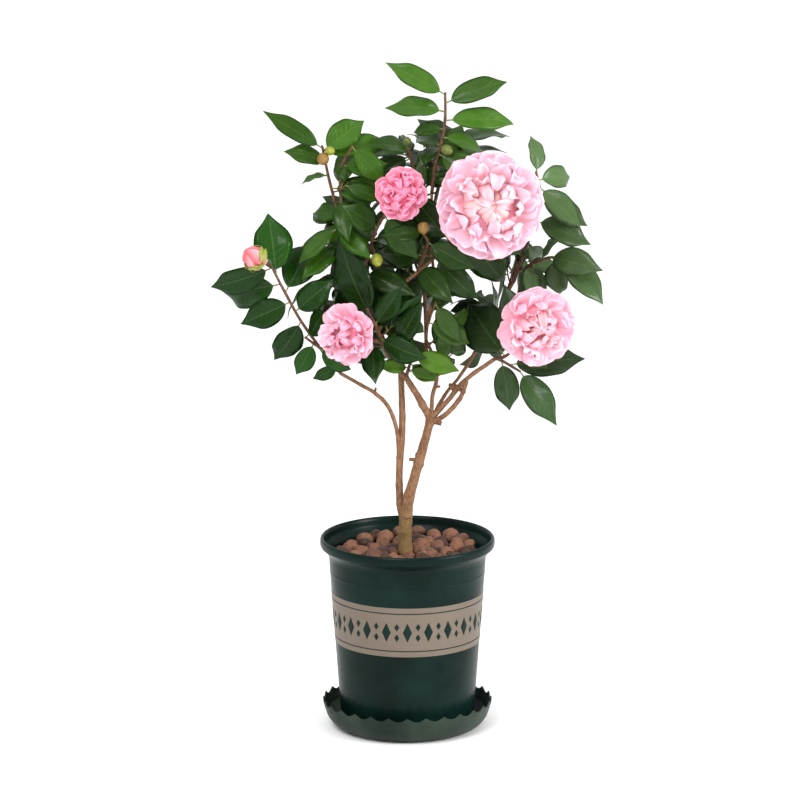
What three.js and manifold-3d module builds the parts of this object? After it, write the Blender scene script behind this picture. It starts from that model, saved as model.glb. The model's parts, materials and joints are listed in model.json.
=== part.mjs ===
// A young camellia in a nursery pot with its saucer.
// Millimetres, +Z up. The origin is the middle of the saucer's flat underside,
// -Y is the front of the plant and +X its right-hand side.

import * as THREE from "three";
import { mergeVertices } from "three/addons/utils/BufferGeometryUtils.js";
import Module from "manifold-3d";

const wasm = await Module();
wasm.setup();

// ---------------------------------------------------------------- driving sizes

const CLEARANCE = 0.3;

// Saucer: a dished plate whose rim is cut into pointed teeth.
const SAUCER = { foot: 62, rim: 84.5, height: 25.5, tooth: 4, teeth: 28, wall: 2, floor: 3 };

// Pot: a straight taper from the foot to the shoulder, then a cove out to the lip.
const POT = { foot: 66, shoulder: 78.5, shoulderHeight: 174.5, lip: 87.5, top: 195.5, wall: 2.2 };
POT.bottom = SAUCER.floor + CLEARANCE;

// Potting bed and the clay balls that cover it.
const BED = { top: 178, ball: 8.4, balls: 40, moundHeight: 5 };

// Leaf blade: proportions of its own length.
const LEAF = { width: 0.46, petiole: 0.1, thickness: 0.018, fold: 0.3, arch: 0.55 };

// Places along a leaf, from root to tip, where its solid has a ring.
const LEAF_STATIONS = [0, 0.33, 0.68];

// Distance kept between a leaf and the rest of its own spray, past the share of the leaf
// where that is first asked for, and between a leaf and every other spray and limb.
const ROOM = { own: 4.6, ownFrom: 0.28, others: 3 };

// Small turns drawn for every leaf, in degrees, and the usual roll of a leaf to its side.
const JITTER = { turn: 14, open: 5, roll: 14 };
const SIDE_ROLL = 16;

// Flower forms as shares of the radius: depth in front of and behind the widest ring, how
// deep the dome's ruffles go, and the guard petals that stand out behind it.
const BLOOM = {
  front: 0.62,
  back: 0.38,
  dome: 0.86,
  ruffle: 0.05,
  guardWidth: 0.95,
  guardThickness: 0.045,
  guardArch: 0.35,
  guardStations: [0, 0.5, 0.85],
};

const COLOURS = {
  saucer: 0x3d4d45,
  pot: 0x24382f,
  bed: 0x6d4d3e,
  bark: 0x94704c,
  leaf: 0x35602a,
};

// ------------------------------------------------------------- small foundations

const vec = (p) => new THREE.Vector3(p[0], p[1], p[2]);

// The same seed always gives the same run of numbers from 0 to 1.
function seededNumbers(seed) {
  let state = seed;
  return () => {
    state = (1664525 * state + 1013904223) % 4294967296;
    return state / 4294967296;
  };
}

// A smooth path through a few points; at(t) is the place and heading(t) the direction.
function pathThrough(points) {
  const curve = new THREE.CatmullRomCurve3(points, false, "catmullrom", 0.5);
  return {
    at: (t) => curve.getPoint(t),
    heading: (t) => curve.getTangent(t).normalize(),
    length: curve.getLength(),
  };
}

function solidFrom(geometry) {
  const bare = geometry.index ? geometry.clone() : geometry;
  for (const name of Object.keys(bare.attributes)) {
    if (name !== "position") bare.deleteAttribute(name);
  }
  const merged = mergeVertices(bare, 1e-4);
  return new wasm.Manifold(
    new wasm.Mesh({
      numProp: 3,
      vertProperties: new Float32Array(merged.attributes.position.array),
      triVerts: new Uint32Array(merged.index.array),
    }),
  );
}

function geometryFrom(solid) {
  const mesh = solid.getMesh();
  const geometry = new THREE.BufferGeometry();
  geometry.setAttribute("position", new THREE.BufferAttribute(mesh.vertProperties, 3));
  geometry.setIndex(new THREE.BufferAttribute(mesh.triVerts, 1));
  return geometry;
}

// The largest connected body of a solid, without any loose scrap.
function wholeBody(solid) {
  const bodies = solid.decompose();
  return bodies.reduce((best, body) => (body.volume() > best.volume() ? body : best));
}

function join(solids) {
  return solids.length > 1 ? wasm.Manifold.union(solids) : solids[0];
}

// A closed skin over rings of equal point counts, with a fan on each end.
function skinOver(rings) {
  const sides = rings[0].length;
  const middle = (ring) => ring.reduce((sum, p) => sum.add(p), new THREE.Vector3()).divideScalar(sides);
  const points = [...rings.flat(), middle(rings[0]), middle(rings[rings.length - 1])];
  const firstHub = points.length - 2;
  const lastHub = points.length - 1;
  const lastRing = (rings.length - 1) * sides;
  const faces = [];
  for (let side = 0; side < sides; side += 1) {
    const next = (side + 1) % sides;
    for (let ring = 0; ring < rings.length - 1; ring += 1) {
      const low = ring * sides;
      const high = low + sides;
      faces.push(low + side, low + next, high + next);
      faces.push(low + side, high + next, high + side);
    }
    faces.push(firstHub, next, side);
    faces.push(lastHub, lastRing + side, lastRing + next);
  }
  const geometry = new THREE.BufferGeometry().setFromPoints(points);
  geometry.setIndex(faces);
  return geometry;
}

// A tapering round limb along a path; spare widens it and lengthens both ends.
function limbGeometry(path, radiusAt, sides, steps, spare = 0) {
  const rings = [];
  let across = new THREE.Vector3(1, 0, 0);
  for (let step = 0; step <= steps; step += 1) {
    const t = step / steps;
    const heading = path.heading(t);
    across = across.clone().addScaledVector(heading, -across.dot(heading)).normalize();
    const up = new THREE.Vector3().crossVectors(heading, across);
    const push = step === 0 ? -spare : step === steps ? spare : 0;
    const centre = path.at(t).addScaledVector(heading, push);
    const radius = radiusAt(t) + spare;
    const ring = [];
    for (let side = 0; side < sides; side += 1) {
      const turn = (2 * Math.PI * side) / sides;
      ring.push(
        centre
          .clone()
          .addScaledVector(across, radius * Math.cos(turn))
          .addScaledVector(up, radius * Math.sin(turn)),
      );
    }
    rings.push(ring);
  }
  return skinOver(rings);
}

// ------------------------------------------------------------- pot, saucer, bed

// A profile turned about the Z axis: radius and height pairs from axis to axis.
function turned(profile, segments) {
  const geometry = new THREE.LatheGeometry(
    profile.map(([radius, height]) => new THREE.Vector2(radius, height)),
    segments,
  );
  return geometry.rotateX(Math.PI / 2);
}

function saucerSolid() {
  const { foot, rim, height, tooth, teeth, wall, floor } = SAUCER;
  const outer = [
    [0, 0],
    [foot, 0],
    [foot + 10, 3],
    [foot + 16, 9],
    [rim - 2.5, 17],
    [rim, height],
  ];
  const inner = [
    [rim - wall, height],
    [rim - 2.5 - wall, 17],
    [foot + 16 - wall, 9.5],
    [foot + 9, 5],
    [foot + 4, floor],
    [0, floor],
  ];
  const geometry = turned([...outer, ...inner], 2 * teeth);
  const position = geometry.attributes.position;
  for (let i = 0; i < position.count; i += 1) {
    if (position.getZ(i) > height - 0.01) {
      const turn = Math.atan2(position.getY(i), position.getX(i));
      const rise = 0.5 + 0.5 * Math.cos(teeth * turn);
      position.setZ(i, height + tooth * rise);
    }
  }
  return solidFrom(geometry);
}

// Outside radius of the pot wall at a height between foot and shoulder.
function potRadius(height) {
  const rise = (height - POT.bottom) / (POT.shoulderHeight - POT.bottom);
  return POT.foot + (POT.shoulder - POT.foot) * rise;
}

function potSolid() {
  const { bottom, shoulderHeight, shoulder, lip, top, wall } = POT;
  const outer = [
    [0, bottom],
    [POT.foot - 2, bottom],
    [potRadius(bottom + 2), bottom + 2],
    [shoulder, shoulderHeight],
    [shoulder + 1.2, shoulderHeight + 3.5],
    [lip - 1.8, top - 10],
    [lip, top - 6.5],
    [lip - 0.2, top - 2],
    [lip - 2, top],
  ];
  const inner = [
    [lip - 3.8, top - 1],
    [lip - 5, top - 8],
    [shoulder - wall + 0.8, shoulderHeight + 4],
    [shoulder - wall, shoulderHeight],
    [potRadius(bottom + wall) - wall, bottom + wall],
    [0, bottom + wall],
  ];
  return solidFrom(turned([...outer, ...inner], 44));
}

// The bed fills the pot; balls of burnt clay lie on it in a sunflower spiral.
function bedSolid(trunkRoom) {
  const low = POT.bottom + POT.wall + CLEARANCE;
  const lowRadius = potRadius(low) - POT.wall - 0.8;
  const highRadius = POT.shoulder - POT.wall - 0.8;
  const filling = [
    [0, low],
    [lowRadius, low],
    [highRadius, BED.top - 4],
    [highRadius, BED.top],
    [0, BED.top],
  ];
  const balls = [];
  const draw = seededNumbers(41);
  const goldenTurn = Math.PI * (3 - Math.sqrt(5));
  const reach = highRadius - BED.ball;
  for (let i = 0; i < BED.balls; i += 1) {
    const away = reach * Math.sqrt((i + 1.6) / (BED.balls + 0.6));
    const turn = i * goldenTurn;
    const x = away * Math.cos(turn);
    const y = away * Math.sin(turn);
    const size = BED.ball * (0.84 + 0.26 * draw());
    const mound = BED.moundHeight * Math.max(0, (0.5 * x + y) / reach);
    const ball = new THREE.IcosahedronGeometry(size, 0);
    ball.scale(1, 1, 0.86);
    ball.rotateZ(6 * draw());
    ball.translate(x, y, BED.top + mound + 1.5 * draw());
    balls.push(solidFrom(ball));
  }
  const bed = join([solidFrom(turned(filling, 48)), ...balls]);
  return wholeBody(bed.subtract(trunkRoom));
}

// ------------------------------------------------------------- trunk and boughs

// Every limb grows from a place on an earlier one. Radii are at its foot and its tip,
// flare adds a root flare at the foot and knot a swelling at the tip.
const LIMBS = [
  {
    name: "trunk",
    start: [-1.8, 0, BED.top + CLEARANCE],
    through: [[-2.4, 0, 198], [-1.6, 0, 216]],
    radii: [6.6, 6.5],
    flare: 1.4,
    sides: 12,
  },
  {
    name: "right_stem",
    from: "trunk",
    at: 1,
    through: [[2.5, 0, 239], [11, 0, 271], [16.5, 0, 290], [24, 0, 318]],
    radii: [5.6, 4.2],
    knot: 1.6,
    sides: 10,
  },
  {
    name: "left_stem",
    from: "trunk",
    at: 0.82,
    through: [[-7, 3, 226], [-8, 5, 262], [-5.2, 6, 305], [-6.4, 7, 360]],
    radii: [4, 3.1],
    sides: 10,
  },
  {
    name: "left_side_bough",
    from: "left_stem",
    at: 0.5,
    through: [[-10, 2, 300], [-18, -2, 327], [-31, -6, 343], [-48, -9, 354], [-66, -11, 365]],
    radii: [2.2, 1.7],
    sides: 8,
  },
  {
    name: "middle_bough",
    from: "right_stem",
    at: 0.98,
    through: [[12, -2, 337], [5, -4, 349], [-2, -5, 361]],
    radii: [3.5, 2.9],
    sides: 8,
  },
  {
    name: "upper_left_bough",
    from: "middle_bough",
    at: 0.94,
    through: [[-12, -4, 371], [-24, 0, 392], [-36, 3, 428], [-46, 2, 466]],
    radii: [2.6, 1.7],
    sides: 8,
  },
  {
    name: "leader",
    from: "right_stem",
    at: 0.99,
    through: [
      [25, -1, 340],
      [29, -2, 361],
      [19, -2, 386],
      [20, -1, 420],
      [27, 0, 446],
      [23, 3, 500],
      [24, 2, 545],
    ],
    radii: [2.1, 1.4],
    sides: 8,
    steps: 16,
  },
  {
    name: "cross_bough",
    from: "upper_left_bough",
    at: 0.6,
    through: [[-10, -2, 446], [8, -8, 466], [24, -10, 480]],
    radii: [1.8, 1.5],
    sides: 6,
  },
  {
    name: "right_bough",
    from: "right_stem",
    at: 0.99,
    through: [[38, -2, 333], [58, -4, 357], [86, -8, 379]],
    radii: [2.8, 2],
    sides: 8,
  },
  {
    name: "right_fork_bough",
    from: "right_stem",
    at: 0.95,
    through: [[38, -6, 322], [52, -8, 339], [59, -4.5, 356]],
    radii: [2.6, 2.1],
    sides: 8,
  },
  {
    name: "right_thin_bough",
    from: "right_stem",
    at: 0.97,
    through: [[38, 7, 340], [55, 9, 362], [80, 16, 404], [106, 20, 452]],
    radii: [1.8, 1.4],
    sides: 8,
  },
];

function growLimbs() {
  const limbs = {};
  const rooms = [];
  for (const plan of LIMBS) {
    const start = plan.from ? limbs[plan.from].path.at(plan.at) : vec(plan.start);
    const path = pathThrough([start, ...plan.through.map(vec)]);
    const [foot, tip] = plan.radii;
    const radiusAt = (t) => {
      const flare = (plan.flare ?? 0) * Math.exp(-t / 0.16);
      const knot = (plan.knot ?? 0) * Math.exp(-(((1 - t) / 0.05) ** 2));
      return foot + (tip - foot) * t + flare + knot;
    };
    const steps = plan.steps ?? Math.max(6, 2 * plan.through.length);
    const grown = solidFrom(limbGeometry(path, radiusAt, plan.sides, steps));
    const solid = wholeBody(rooms.reduce((left, room) => left.subtract(room), grown));
    limbs[plan.name] = { path, radiusAt, solid };
    rooms.push(solidFrom(limbGeometry(path, radiusAt, plan.sides, steps, CLEARANCE + 0.05)));
  }
  return { limbs, rooms };
}

// ------------------------------------------------------------- leaves

// Half the blade's width at s from the leaf's root (0) to its tip (1).
function bladeHalfWidth(s, length, widthShare) {
  const t = (s - LEAF.petiole) / (1 - LEAF.petiole);
  if (t <= 0) return 0;
  const shape = t ** 0.65 * (1 - t) ** 0.85;
  return (0.5 * widthShare * length * shape) / 0.3595;
}

// A leaf's surface: s runs along the midrib, u from -1 to 1 across the blade.
// The midrib is an arc that bends away from the face; the halves fold up in a shallow V.
function leafPoint(leaf, s, u) {
  const { root, along, face, length } = leaf;
  const across = new THREE.Vector3().crossVectors(along, face);
  const bend = leaf.arch * s;
  const half = Math.max(bladeHalfWidth(s, length, leaf.width), leaf.stalk);
  const normal = face.clone().multiplyScalar(Math.cos(bend)).addScaledVector(along, Math.sin(bend));
  return root
    .clone()
    .addScaledVector(along, (length * Math.sin(bend)) / leaf.arch)
    .addScaledVector(face, (-length * (1 - Math.cos(bend))) / leaf.arch)
    .addScaledVector(across, half * u * Math.cos(LEAF.fold))
    .addScaledVector(normal, half * Math.abs(u) * Math.sin(LEAF.fold));
}

// The blade as a solid: knife edges left and right, thickest at the midrib.
function leafSolid(leaf, stations = LEAF_STATIONS) {
  const thickness = Math.max(leaf.length * leaf.thickness, 1.1);
  const rings = stations.map((s) => {
    const bend = leaf.arch * s;
    const normal = leaf.face
      .clone()
      .multiplyScalar(Math.cos(bend))
      .addScaledVector(leaf.along, Math.sin(bend));
    const middle = leafPoint(leaf, s, 0);
    return [
      leafPoint(leaf, s, -1),
      middle.clone().addScaledVector(normal, -thickness / 2),
      leafPoint(leaf, s, 1),
      middle.clone().addScaledVector(normal, thickness / 2),
    ];
  });
  const tip = leafPoint({ ...leaf, stalk: 0.05 }, 1, 0);
  const geometry = new THREE.BufferGeometry().setFromPoints([...rings.flat(), tip]);
  const faces = [0, 1, 2, 0, 2, 3];
  const tipIndex = rings.length * 4;
  for (let ring = 0; ring < rings.length; ring += 1) {
    for (let side = 0; side < 4; side += 1) {
      const a = ring * 4 + side;
      const b = ring * 4 + ((side + 1) % 4);
      if (ring === rings.length - 1) faces.push(b, a, tipIndex);
      else faces.push(b, a, b + 4, a, a + 4, b + 4);
    }
  }
  geometry.setIndex(faces);
  return solidFrom(geometry);
}

// ------------------------------------------------------------- room in the crown

// Everything placed so far, as small balls: place, radius and the spray it belongs to.
class Crown {
  constructor() {
    this.balls = [];
  }

  add(points, radius, owner) {
    for (const point of points) this.balls.push({ point, radius, owner });
  }

  // True where no ball of another owner, or of any owner if own is given, is too near.
  isFree(points, gap, owner, testOwn) {
    const box = new THREE.Box3().setFromPoints(points).expandByScalar(gap + 12);
    for (const ball of this.balls) {
      if (ball.owner === owner && !testOwn) continue;
      if (ball.radius < 12 && !box.containsPoint(ball.point)) continue;
      const limit = (gap + ball.radius) ** 2;
      if (points.some((point) => point.distanceToSquared(ball.point) < limit)) return false;
    }
    return true;
  }
}

function spaced(path, step) {
  const count = Math.ceil(path.length / step);
  return Array.from({ length: count + 1 }, (_, i) => path.at(i / count));
}

// The points that stand for a blade in the crown, from s = first to the tip.
function bladePoints(leaf, first) {
  const points = [];
  for (let row = 0; row <= 14; row += 1) {
    const s = row / 14;
    if (s < first) continue;
    for (let column = -3; column <= 3; column += 1) points.push(leafPoint(leaf, s, column / 3));
  }
  return points;
}

// ------------------------------------------------------------- flowers and buds

// A round flower head: a ruffled dome with a ring of guard petals behind it.
function bloomSolid(bloom) {
  const { centre, facing, radius, petals } = bloom;
  const turn = new THREE.Quaternion().setFromUnitVectors(new THREE.Vector3(0, 0, 1), facing);
  const dome = new THREE.SphereGeometry(radius, 12, 7).rotateX(Math.PI / 2);
  const position = dome.attributes.position;
  for (let i = 0; i < position.count; i += 1) {
    const point = new THREE.Vector3().fromBufferAttribute(position, i).divideScalar(radius);
    const around = Math.atan2(point.y, point.x);
    const lift = Math.acos(THREE.MathUtils.clamp(point.z, -1, 1));
    const ruffle = BLOOM.ruffle * Math.cos(5 * around + 4 * lift) * Math.sin(lift);
    point.multiplyScalar(radius * (BLOOM.dome + ruffle));
    point.z *= (point.z > 0 ? BLOOM.front : BLOOM.back) / BLOOM.dome;
    position.setXYZ(i, point.x, point.y, point.z);
  }
  dome.applyQuaternion(turn).translate(centre.x, centre.y, centre.z);
  const parts = [solidFrom(dome)];
  for (let i = 0; i < petals; i += 1) {
    const around = (2 * Math.PI * i) / petals;
    const outward = new THREE.Vector3(Math.cos(around), Math.sin(around), 0.12).normalize();
    const face = new THREE.Vector3(-outward.x, -outward.y, 0).multiplyScalar(0.12);
    face.z = 1;
    face.normalize();
    const long = radius * (i % 2 ? 0.8 : 0.76);
    parts.push(
      leafSolid(
        {
          root: centre.clone().addScaledVector(outward.clone().applyQuaternion(turn), 0.25 * radius),
          along: outward.applyQuaternion(turn),
          face: face.applyQuaternion(turn),
          length: long,
          width: BLOOM.guardWidth,
          arch: BLOOM.guardArch,
          thickness: BLOOM.guardThickness,
          stalk: 2,
        },
        BLOOM.guardStations,
      ),
    );
  }
  return join(parts);
}

function bloomPoints({ centre, facing, radius }) {
  const side = new THREE.Vector3(0, 0, 1).cross(facing).normalize();
  const up = new THREE.Vector3().crossVectors(facing, side);
  const points = [centre];
  for (let i = 0; i < 12; i += 1) {
    const around = (Math.PI * i) / 6;
    points.push(
      centre
        .clone()
        .addScaledVector(side, 0.6 * radius * Math.cos(around))
        .addScaledVector(up, 0.6 * radius * Math.sin(around)),
    );
  }
  return points;
}

// An egg-shaped bud whose blunt end sits on the twig.
function budSolid({ centre, facing, radius }) {
  const bud = new THREE.SphereGeometry(radius, 7, 5).rotateX(Math.PI / 2).scale(1, 1, 1.12);
  const turn = new THREE.Quaternion().setFromUnitVectors(new THREE.Vector3(0, 0, 1), facing);
  bud.applyQuaternion(turn).translate(centre.x, centre.y, centre.z);
  return solidFrom(bud);
}

// ------------------------------------------------------------- leafy sprays

const HEART = vec([0, 25, 470]);

// Where a leaf has no room it is turned about the twig and lifted by these degrees in turn.
const LEAF_TRIES = [
  [0, 0], [15, 0], [-15, 0], [30, -8], [-30, 8], [45, 8], [-45, -8], [62, 12], [-62, -12],
  [85, 0], [-85, 0], [40, -28], [-40, -28], [70, -30], [-70, -30], [110, -35], [-110, -35],
];

// First and last angle of the leaves on the sprays that fill the back of the crown.
const BACK_SPREAD = [88, 40];

// Each spray springs from a limb. Its shoots are curves through a few places; the first
// is the spray's own stem and the others spring from it. A shoot's leaves are given as
// their angles from the twig, to the right (+) or left (-), each alone or with its share
// of the full length, a roll about its own midrib and its share of the usual width. Given
// as a plain count, they alternate and close up from the first spread angle to the last.
// crowd gathers a shoot's leaves toward its tip.
const SPRAYS = [
  {
    name: "top_spray",
    limb: "leader",
    at: 1,
    leaf: 76,
    shoots: [
      {
        through: [[27, -3, 571], [33, -6, 596], [37, -8, 622], [37, -8, 648]],
        opens: [
          [96, 0.85], [-88, 0.6], [100, 0.66], [-104, 0.5], [76, 1.1, 0, 0.75], [-76, 0.87, 0, 0.85],
          [66, 0.95, 0, 0.8], [-61, 1, 0, 0.75],
        ],
        first: 0.4,
        face: [0, -0.6, 0.8],
      },
    ],
    buds: [{ at: [39, -12, 591], radius: 5.5 }],
  },
  {
    name: "large_bloom_spray",
    limb: "cross_bough",
    at: 1,
    leaf: 68,
    shoots: [
      {
        through: [[45, -28, 506], [62, -44, 532], [72, -52, 544]],
        opens: [[80, 1.05], -80, [122, 1.25], [-50, 0.8], [120, 1.1]],
        first: 0.05,
        face: [0, -0.9, 0.35],
      },
    ],
    bloom: {
      centre: [80, -68, 547],
      facing: [0.08, -0.95, 0.2],
      radius: 53,
      petals: 7,
    },
  },
  {
    name: "centre_spray",
    limb: "cross_bough",
    at: 0.72,
    leaf: 62,
    shoots: [
      {
        through: [[15, -18, 484], [20, -32, 502], [15, -46, 516]],
        opens: [[82, 0.95], [-128, 1.05], [100, 0.95], [-40, 0.8, 0, 0.7]],
        first: 0.1,
        face: [0, -0.9, 0.35],
      },
    ],
    buds: [{ at: [15.6, -54, 522], radius: 6 }],
  },
  {
    name: "low_centre_spray",
    limb: "middle_bough",
    at: 0.97,
    leaf: 50,
    shoots: [
      {
        through: [[2, -14, 374], [6, -24, 388]],
        opens: [[-75, 0.7], [95, 0.7], -70, [84, 1.1]],
        first: 0.4,
        face: [0, -0.8, 0.5],
      },
    ],
  },
  {
    name: "centre_left_spray",
    limb: "upper_left_bough",
    at: 0.2,
    leaf: 74,
    shoots: [
      {
        through: [[-24, -14, 396], [-31, -24, 416], [-40, -30, 436]],
        opens: [
          [135, 0.65], [-60, 0.6], [105, 0.8], [-75, 0.7], [38, 0.75], [-6, 1.15, 0, 1.1], [14, 0.8],
        ],
        first: 0.15,
        face: [-0.1, -0.95, 0.2],
      },
      {
        at: 0.35,
        through: [[-40, -36, 406], [-52, -52, 413]],
        opens: [[-80, 0.62], [80, 0.62]],
        first: 0.3,
      },
    ],
    bloom: {
      centre: [-60.5, -64, 417],
      facing: [-0.42, -0.88, 0.02],
      radius: 31,
      petals: 6,
      shoot: 1,
    },
  },
  {
    name: "left_spray",
    limb: "left_side_bough",
    at: 1,
    leaf: 74,
    shoots: [
      {
        through: [[-84, -20, 390], [-105, -36, 424], [-121, -46, 456], [-134, -54, 484]],
        opens: [
          [-124, 0.75, 0, 1.15], [74, 0.75, 0, 1.2], [-82, 0.8, 0, 1.2], [80, 1.08, 0, 1.1],
          [-88, 1.25], [19, 0.95, 0, 1.22], [-98, 1, 0, 0.8],
        ],
        first: 0.5,
        face: [-0.1, -0.9, 0.3],
      },
      {
        at: 0.28,
        through: [[-86, -34, 396], [-101, -46, 410]],
        opens: [[-110, 0.9, 0, 1.2], [150, 0.7], [-94, 0.6, 0, 1.2], [120, 0.8]],
        first: 0.3,
        leaf: 62,
        face: [0, -0.95, 0.2],
      },
      {
        at: 0.06,
        through: [[-68, -22, 376], [-64, -32, 392]],
        opens: [[-128, 0.6], [168, 1]],
        first: 0.4,
        leaf: 50,
        face: [0, -0.95, 0.2],
      },
    ],
    buds: [{ at: [-149, -66, 494], radius: 13, facing: [-0.8, -0.5, 0.35] }],
  },
  {
    name: "upper_left_spray",
    limb: "upper_left_bough",
    at: 1,
    leaf: 72,
    shoots: [
      {
        through: [[-59, -9, 504], [-74, -18, 550], [-84, -24, 598]],
        opens: [
          [-60, 0.5], 125, [100, 0.8], [108, 0.8], [-75, 0.42, 40], [-46, 0.65],
          [90, 1.2, 0, 0.6], [66, 0.7, 0, 1.15], [-43, 0.98, 0, 0.62],
        ],
        first: 0.32,
        crowd: 1.8,
        face: [0, -0.65, 0.75],
      },
      {
        at: 0.42,
        through: [[-66, -26, 570], [-54, -34, 600]],
        opens: [[118, 0.9], [-50, 0.6], [75, 0.8], [150, 0.8], [112, 0.95]],
        first: 0.25,
        leaf: 58,
        face: [0, -0.9, 0.4],
      },
    ],
    buds: [
      { at: [-83, -31, 586], radius: 6.2 },
      { at: [-76, -30, 594], radius: 4.5 },
    ],
  },
  {
    name: "middle_bloom_spray",
    limb: "upper_left_bough",
    at: 0.95,
    leaf: 60,
    shoots: [
      {
        through: [[-38, -10, 490], [-28, -28, 520], [-14, -44, 545]],
        opens: [[92, 0.95], [-100, 0.6], 70, -58, 100, -80],
        first: 0.08,
        face: [0, -0.8, 0.5],
      },
    ],
    bloom: {
      centre: [-6, -56, 557],
      facing: [0.05, -0.95, 0.25],
      radius: 26.5,
      petals: 6,
    },
    buds: [{ at: [-30, -34, 485], radius: 6 }],
  },
  {
    name: "middle_top_spray",
    limb: "leader",
    at: 0.84,
    leaf: 58,
    shoots: [
      {
        through: [[12, 8, 543], [6, 12, 566], [1, 14, 588]],
        opens: [-80, 75, -95, 95, -95, -70],
        first: 0.3,
        face: [0, -0.6, 0.8],
      },
    ],
    buds: [{ at: [0, 14, 595], radius: 4 }],
  },
  {
    name: "right_upper_spray",
    limb: "right_thin_bough",
    at: 1,
    leaf: 70,
    shoots: [
      {
        through: [[114, 16, 478], [126, 12, 512], [131, 8, 545], [127, 6, 566]],
        opens: [
          [-70, 0.8], [150, 0.85], -70, [88, 0.9], -70, [114, 0.85], [150, 0.8],
          [104, 0.66], [22, 0.6],
        ],
        first: 0.25,
        face: [0.1, -0.75, 0.6],
      },
      {
        at: 0.1,
        through: [[124, 10, 472], [140, 2, 480], [153, -4, 480]],
        opens: [[-60, 0.7], [95, 0.8], [-40, 0.6], [14, 1.05], [112, 0.75], [28, 1.05]],
        first: 0.2,
        face: [0.1, -0.75, 0.6],
      },
    ],
  },
  {
    name: "right_lower_spray",
    limb: "right_bough",
    at: 1,
    leaf: 72,
    shoots: [
      {
        through: [[98, -22, 386], [112, -38, 403], [121, -46, 416]],
        opens: [[-114, 1.15, 0, 1.15], [60, 0.6], [-55, 0.8], [30, 0.9]],
        first: 0.3,
        face: [0, -0.85, 0.4],
      },
      {
        at: 0.08,
        through: [[97, -14, 377], [112, -24, 370]],
        opens: [[48, 0.74], [-36, 1.16], [18, 1.02, 0, 0.9]],
        first: 0.3,
        face: [0.1, -0.85, 0.4],
      },
    ],
    bloom: {
      centre: [127.6, -60, 424],
      facing: [0.25, -0.93, 0.08],
      radius: 39.5,
      petals: 7,
    },
  },
  {
    name: "centre_right_spray",
    limb: "leader",
    at: 0.28,
    leaf: 64,
    shoots: [
      {
        through: [[24, -11, 386], [18, -16, 404], [22, -21, 424], [28, -25, 440]],
        opens: [[100, 0.6], [-92, 0.8], [120, 1.15], [-60, 0.5], [92, 0.8], [-50, 0.6], [112, 0.7]],
        first: 0.1,
        face: [0, -0.7, 0.7],
      },
    ],
  },
  {
    name: "back_top_spray",
    limb: "leader",
    at: 0.9,
    leaf: 64,
    shoots: [
      {
        through: [[32, 26, 550], [44, 52, 568], [50, 72, 582]],
        leaves: 8,
        first: 0.25,
        spread: BACK_SPREAD,
      },
    ],
  },
  {
    name: "back_left_spray",
    limb: "upper_left_bough",
    at: 0.88,
    leaf: 62,
    shoots: [
      {
        through: [[-44, 34, 468], [-46, 62, 482], [-42, 84, 504]],
        leaves: 8,
        first: 0.25,
        spread: BACK_SPREAD,
      },
      {
        at: 0.3,
        through: [[-62, 46, 452], [-84, 58, 448]],
        leaves: 5,
        first: 0.3,
        spread: BACK_SPREAD,
      },
    ],
  },
  {
    name: "back_centre_spray",
    limb: "leader",
    at: 0.5,
    leaf: 62,
    shoots: [
      {
        through: [[16, 32, 446], [8, 60, 462], [4, 84, 486]],
        leaves: 8,
        first: 0.25,
        spread: BACK_SPREAD,
      },
    ],
  },
  {
    name: "back_right_spray",
    limb: "right_thin_bough",
    at: 0.92,
    leaf: 62,
    shoots: [
      {
        through: [[108, 48, 462], [112, 76, 478], [108, 96, 498]],
        leaves: 8,
        first: 0.25,
        spread: BACK_SPREAD,
      },
    ],
  },
  {
    name: "back_low_left_spray",
    limb: "left_stem",
    at: 1,
    leaf: 58,
    shoots: [
      {
        through: [[-18, 30, 384], [-40, 56, 402], [-58, 74, 420]],
        leaves: 7,
        first: 0.3,
        spread: BACK_SPREAD,
      },
    ],
  },
  {
    name: "back_low_right_spray",
    limb: "right_thin_bough",
    at: 0.45,
    leaf: 58,
    shoots: [
      {
        through: [[76, 34, 388], [86, 58, 400], [90, 78, 416]],
        leaves: 7,
        first: 0.3,
        spread: BACK_SPREAD,
      },
    ],
  },
];

const TWIG = { foot: 1.8, tip: 1.25 };

function twigRadius(t) {
  return TWIG.foot + (TWIG.tip - TWIG.foot) * t;
}

// The direction in which a shoot's leaves show their faces: outward and a little upward.
function shootFace(path, plan) {
  if (plan.face) return vec(plan.face).normalize();
  const outward = path.at(0.6).sub(HEART).normalize();
  return outward.multiplyScalar(0.9).add(new THREE.Vector3(0, 0, 0.55)).normalize();
}

// The angle of each leaf of a shoot from its twig, in degrees, left ones negative.
function leafAngles(plan) {
  if (plan.opens) return plan.opens;
  const [wide, narrow] = plan.spread;
  return Array.from({ length: plan.leaves }, (_, node) => {
    const open = wide + ((narrow - wide) * node) / (plan.leaves - 1);
    return node % 2 ? open : -open;
  });
}

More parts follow.
